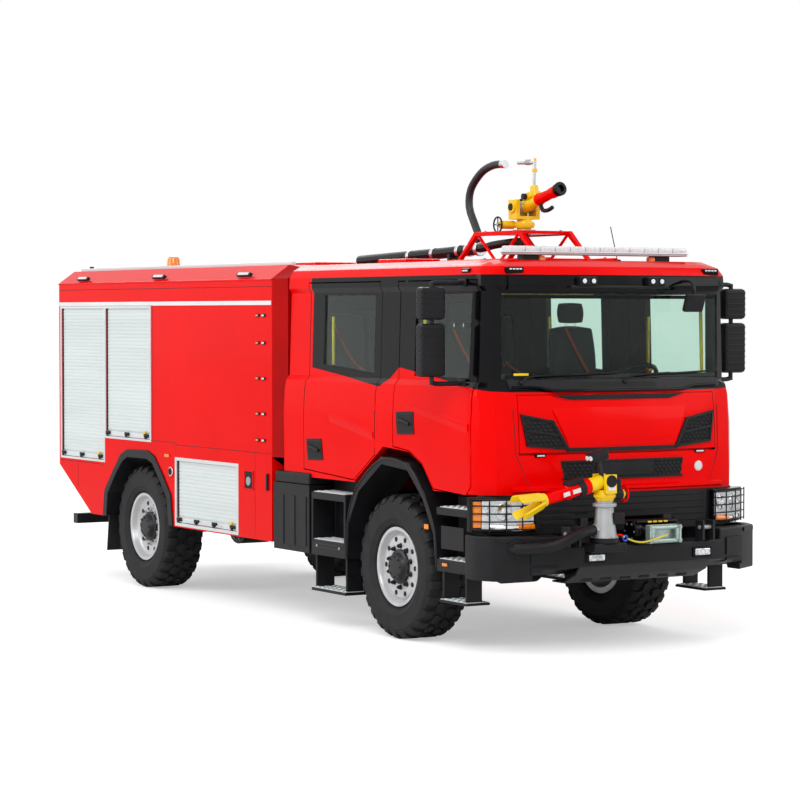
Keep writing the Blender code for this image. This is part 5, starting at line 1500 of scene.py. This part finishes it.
def cushion(name, centre, size, body, crown=0.03, channels=(), turn=0.0, replaces=()):
    """A stuffed form: sides pulled in between corners, a crowned face, and sewn channels across it."""
    bm = bmesh.new()
    bmesh.ops.create_cube(bm, size=2)
    bmesh.ops.subdivide_edges(bm, edges=bm.edges, cuts=11, use_grid_fill=True)
    half = Vector(size) / 2
    for vert in bm.verts:
        u, v, w = vert.co
        soft = Vector((u * math.sqrt(1 - v * v * 0.16 - w * w * 0.30),
                       v * math.sqrt(1 - u * u * 0.10 - w * w * 0.22),
                       w * math.sqrt(max(0.05, 1 - u * u * 0.34 - v * v * 0.26))))
        swell = (1 - u * u) * (1 - v * v)
        groove = sum(math.exp(-((v - c) / 0.05) ** 2) for c in channels)
        lift = (crown * swell - 0.010 * groove * (1 - u * u)) * (1 if w > 0 else 0.2)
        waist = 1 - 0.035 * (1 - w * w)
        vert.co = Vector((soft.x * half.x * waist, soft.y * half.y * waist, soft.z * half.z + lift * w))
    edge = [e for e in bm.edges if abs(e.verts[0].co.z) < 1e-3 and abs(e.verts[1].co.z) < 1e-3]
    loop = sorted({v for e in edge for v in e.verts}, key=lambda v: math.atan2(v.co.y, v.co.x))
    place = Matrix.Translation(centre) @ Matrix.Rotation(turn, 4, "Y")
    work = Work()
    route = [place @ v.co for v in loop]
    work.take(bm, CLOTH, place)
    work.take(tube([*route, route[0]], 0.004, 6, 0.05), SEAM)
    made = work.piece(name, body, "seat_cloth", replaces, 60)
    return made


FLOOR_TOP = 1.7003


def seats():
    for node, y in (("driver_seat", 0.55), ("passenger_seat", -0.55)):
        cushion(f"{node}_cushion", (0.30, y, 1.905), (0.50, 0.48, 0.11), "truck", 0.018, (-0.45, 0.45), 0.0,
                (node,))
        cushion(f"{node}_back", (-0.005, y, 2.23), (0.60, 0.46, 0.12), "truck", 0.016, (-0.5, 0.5),
                math.radians(-96))
        cushion(f"{node}_headrest", (-0.035, y, 2.63), (0.17, 0.25, 0.085), "truck", 0.008, (),
                math.radians(-93))
        work = Work()
        work.take(block((0.10, 0.48), about(y, 0.16), (FLOOR_TOP, 1.78), 0.012), BLACK)
        work.take(block((0.14, 0.44), about(y, 0.13), (1.775, 1.850), 0.018), RUBBER)
        for side in (-0.045, 0.045):
            work.take(peg("z", (2.50, 2.58), -0.035, y + side, 0.007, 10), CHROME)
        strap = [(0.045, y - 0.10, 2.50), (0.072, y, 2.30), (0.10, y + 0.13, 2.08), (0.16, y + 0.20, 1.975)]
        work.take(tube(strap, 0.011, 8), BELT)
        work.piece(f"{node}_frame", "truck", "black_plastic")
    places = (-0.765, -0.255, 0.255, 0.765)
    for i, y in enumerate(places):
        replaced = ("crew_bench",) if i == 0 else ()
        cushion(f"crew_cushion_{i + 1}", (-1.345, y, 2.005), (0.46, 0.47, 0.13), "truck", 0.018,
                (-0.45, 0.45), 0.0, replaced)
        cushion(f"crew_back_{i + 1}", (-1.605, y, 2.345), (0.58, 0.45, 0.12), "truck", 0.014, (-0.5, 0.5),
                math.radians(-93))
        work = Work()
        strap = [(-1.53, y - 0.14, 2.60), (-1.515, y - 0.05, 2.40), (-1.50, y + 0.08, 2.20),
                 (-1.40, y + 0.20, 2.085)]
        work.take(tube(strap, 0.012, 8), BELT)
        work.piece(f"crew_belt_{i + 1}", "truck", "seat_cloth")
    work = Work()
    work.take(block((-1.69, -1.17), (-1.01, 1.01), (FLOOR_TOP, 1.935), 0.012), BLACK)
    work.take(block((-1.695, -1.668), (-1.01, 1.01), (1.94, 2.66), 0.008), LINING)
    work.piece("crew_bench_box", "truck", "black_plastic")


def dashboard():
    refined("dashboard", 0.006)
    work = Work()
    work.take(block((0.945, 0.975), (0.32, 0.78), (1.90, 2.02), 0.012), GLOSS_BLACK)
    for y in (0.44, 0.56, 0.68):
        work.take(peg("x", (0.946, 0.938), y, 1.965, 0.036, 24, 0.003), LENS)
    work.take(block((0.955, 0.985), (-0.25, 0.18), (1.86, 2.00), 0.012), BLACK)
    for y in (-0.17, -0.05, 0.07):
        work.take(block((0.948, 0.958), about(y, 0.035), (1.90, 1.97), 0.006), GLOSS_BLACK)
    for _, side in SIDES:
        work.take(side_block(side, (1.16, 1.24), (0.80, 0.97), (2.085, 2.10), 0.004), LINING)
        work.take(rod((1.20, side * 0.99, 2.16), (1.13, side * 1.03, 2.66), 0.014, 12), YELLOW)
        work.take(side_block(side, (0.30, 0.90), (0.35, 0.85), (2.905, 2.95), 0.02), LINING)
    work.take(peg("y", (-0.95, 0.95), -0.28, 2.80, 0.016, 14), YELLOW)
    for y in (-0.9, 0.0, 0.9):
        work.take(peg("z", (2.80, 2.962), -0.28, y, 0.012, 12), YELLOW)
    handwheel(work, (0.822, 0.55, 2.103), (-0.5, 0, 0.866), 0.226, BLACK, 3)
    work.piece("dashboard_fittings", "truck", "black_plastic")


# ---------------------------------------------------------------- stage

CAMERA = Vector((18.53, -12.13, 2.63))
LENS_MM = 120.4
LIT_MIDDLE = Vector((0, 0, 1.5))
YAW = math.radians(149.30)
PITCH = math.radians(-1.86)


def mixed_white(tree, strength_other):
    """1 for camera, mirror and glass rays, strength_other for the rest."""
    path = tree.nodes.new("ShaderNodeLightPath")
    either = tree.nodes.new("ShaderNodeMath")
    either.operation = "MAXIMUM"
    tree.links.new(path.outputs["Is Camera Ray"], either.inputs[0])
    tree.links.new(path.outputs["Is Glossy Ray"], either.inputs[1])
    all_three = tree.nodes.new("ShaderNodeMath")
    all_three.operation = "MAXIMUM"
    tree.links.new(either.outputs[0], all_three.inputs[0])
    tree.links.new(path.outputs["Is Transmission Ray"], all_three.inputs[1])
    level = tree.nodes.new("ShaderNodeMapRange")
    level.inputs["To Min"].default_value = strength_other
    level.inputs["To Max"].default_value = 1.0
    tree.links.new(all_three.outputs[0], level.inputs["Value"])
    return level


def stage():
    scene = bpy.context.scene
    world = bpy.data.worlds.new("studio")
    scene.world = world
    world.use_nodes = True
    tree = world.node_tree
    background = tree.nodes["Background"]
    background.inputs["Color"].default_value = (1, 1, 1, 1)
    tree.links.new(mixed_white(tree, 0.62).outputs[0], background.inputs["Strength"])

    bm = bmesh.new()
    bmesh.ops.create_grid(bm, x_segments=1, y_segments=1, size=120)
    mesh = bpy.data.meshes.new("floor")
    bm.to_mesh(mesh)
    bm.free()
    floor = bpy.data.objects.new("floor", mesh)
    scene.collection.objects.link(floor)
    white = bpy.data.materials.new("floor_white")
    white.use_nodes = True
    tree = white.node_tree
    shader = tree.nodes["Principled BSDF"]
    speck = link_noise(tree, 0.8)
    ramp = tree.nodes.new("ShaderNodeValToRGB")
    ramp.color_ramp.elements[0].color = (0.90, 0.90, 0.90, 1)
    ramp.color_ramp.elements[1].color = (0.92, 0.92, 0.92, 1)
    tree.links.new(speck.outputs["Fac"], ramp.inputs["Fac"])
    tree.links.new(ramp.outputs["Color"], shader.inputs["Base Color"])
    shader.inputs["Roughness"].default_value = 0.9
    shader.inputs["Specular IOR Level"].default_value = 0.1
    shader.inputs["Emission Color"].default_value = (1, 1, 1, 1)
    path = tree.nodes.new("ShaderNodeLightPath")
    glow = tree.nodes.new("ShaderNodeMath")
    glow.operation = "MULTIPLY"
    glow.inputs[1].default_value = 0.42
    seen = tree.nodes.new("ShaderNodeMath")
    seen.operation = "MAXIMUM"
    tree.links.new(path.outputs["Is Camera Ray"], seen.inputs[0])
    tree.links.new(path.outputs["Is Transmission Ray"], seen.inputs[1])
    tree.links.new(seen.outputs[0], glow.inputs[0])
    tree.links.new(glow.outputs[0], shader.inputs["Emission Strength"])
    mesh.materials.append(white)

    for name, place, size, power in (("key", (14, -10, 13), 9, 1500), ("side", (-6, -16, 9), 9, 900),
                                     ("fill", (13, 13, 9), 9, 500), ("back", (-15, 7, 9), 8, 500)):
        lamp = bpy.data.lights.new(name, "AREA")
        lamp.size = size
        lamp.energy = power
        made = bpy.data.objects.new(name, lamp)
        made.location = place
        made.rotation_mode = "QUATERNION"
        made.rotation_quaternion = (Vector(place) - LIT_MIDDLE).to_track_quat("Z", "Y")
        scene.collection.objects.link(made)

    lens = bpy.data.cameras.new("camera")
    lens.lens = LENS_MM
    lens.clip_end = 400
    camera = bpy.data.objects.new("camera", lens)
    scene.collection.objects.link(camera)
    camera.location = CAMERA + ORIGIN
    look = Vector((math.cos(PITCH) * math.cos(YAW), math.cos(PITCH) * math.sin(YAW), math.sin(PITCH)))
    camera.rotation_mode = "QUATERNION"
    camera.rotation_quaternion = look.to_track_quat("-Z", "Y")
    scene.camera = camera
    scene.view_settings.view_transform = "Standard"


stage()
winch_rope()
roof_hose()
cab_panels()
door_details()
cab_front()
windscreen_details()
body_sides()
shutters()
body_roof_and_tail()
wheels()
low_sides()
springs_and_axles()
headlamps()
bumper_details()
winch()
bumper_monitor()
roof_monitor()
light_bar()
mirrors()
seats()
dashboard()
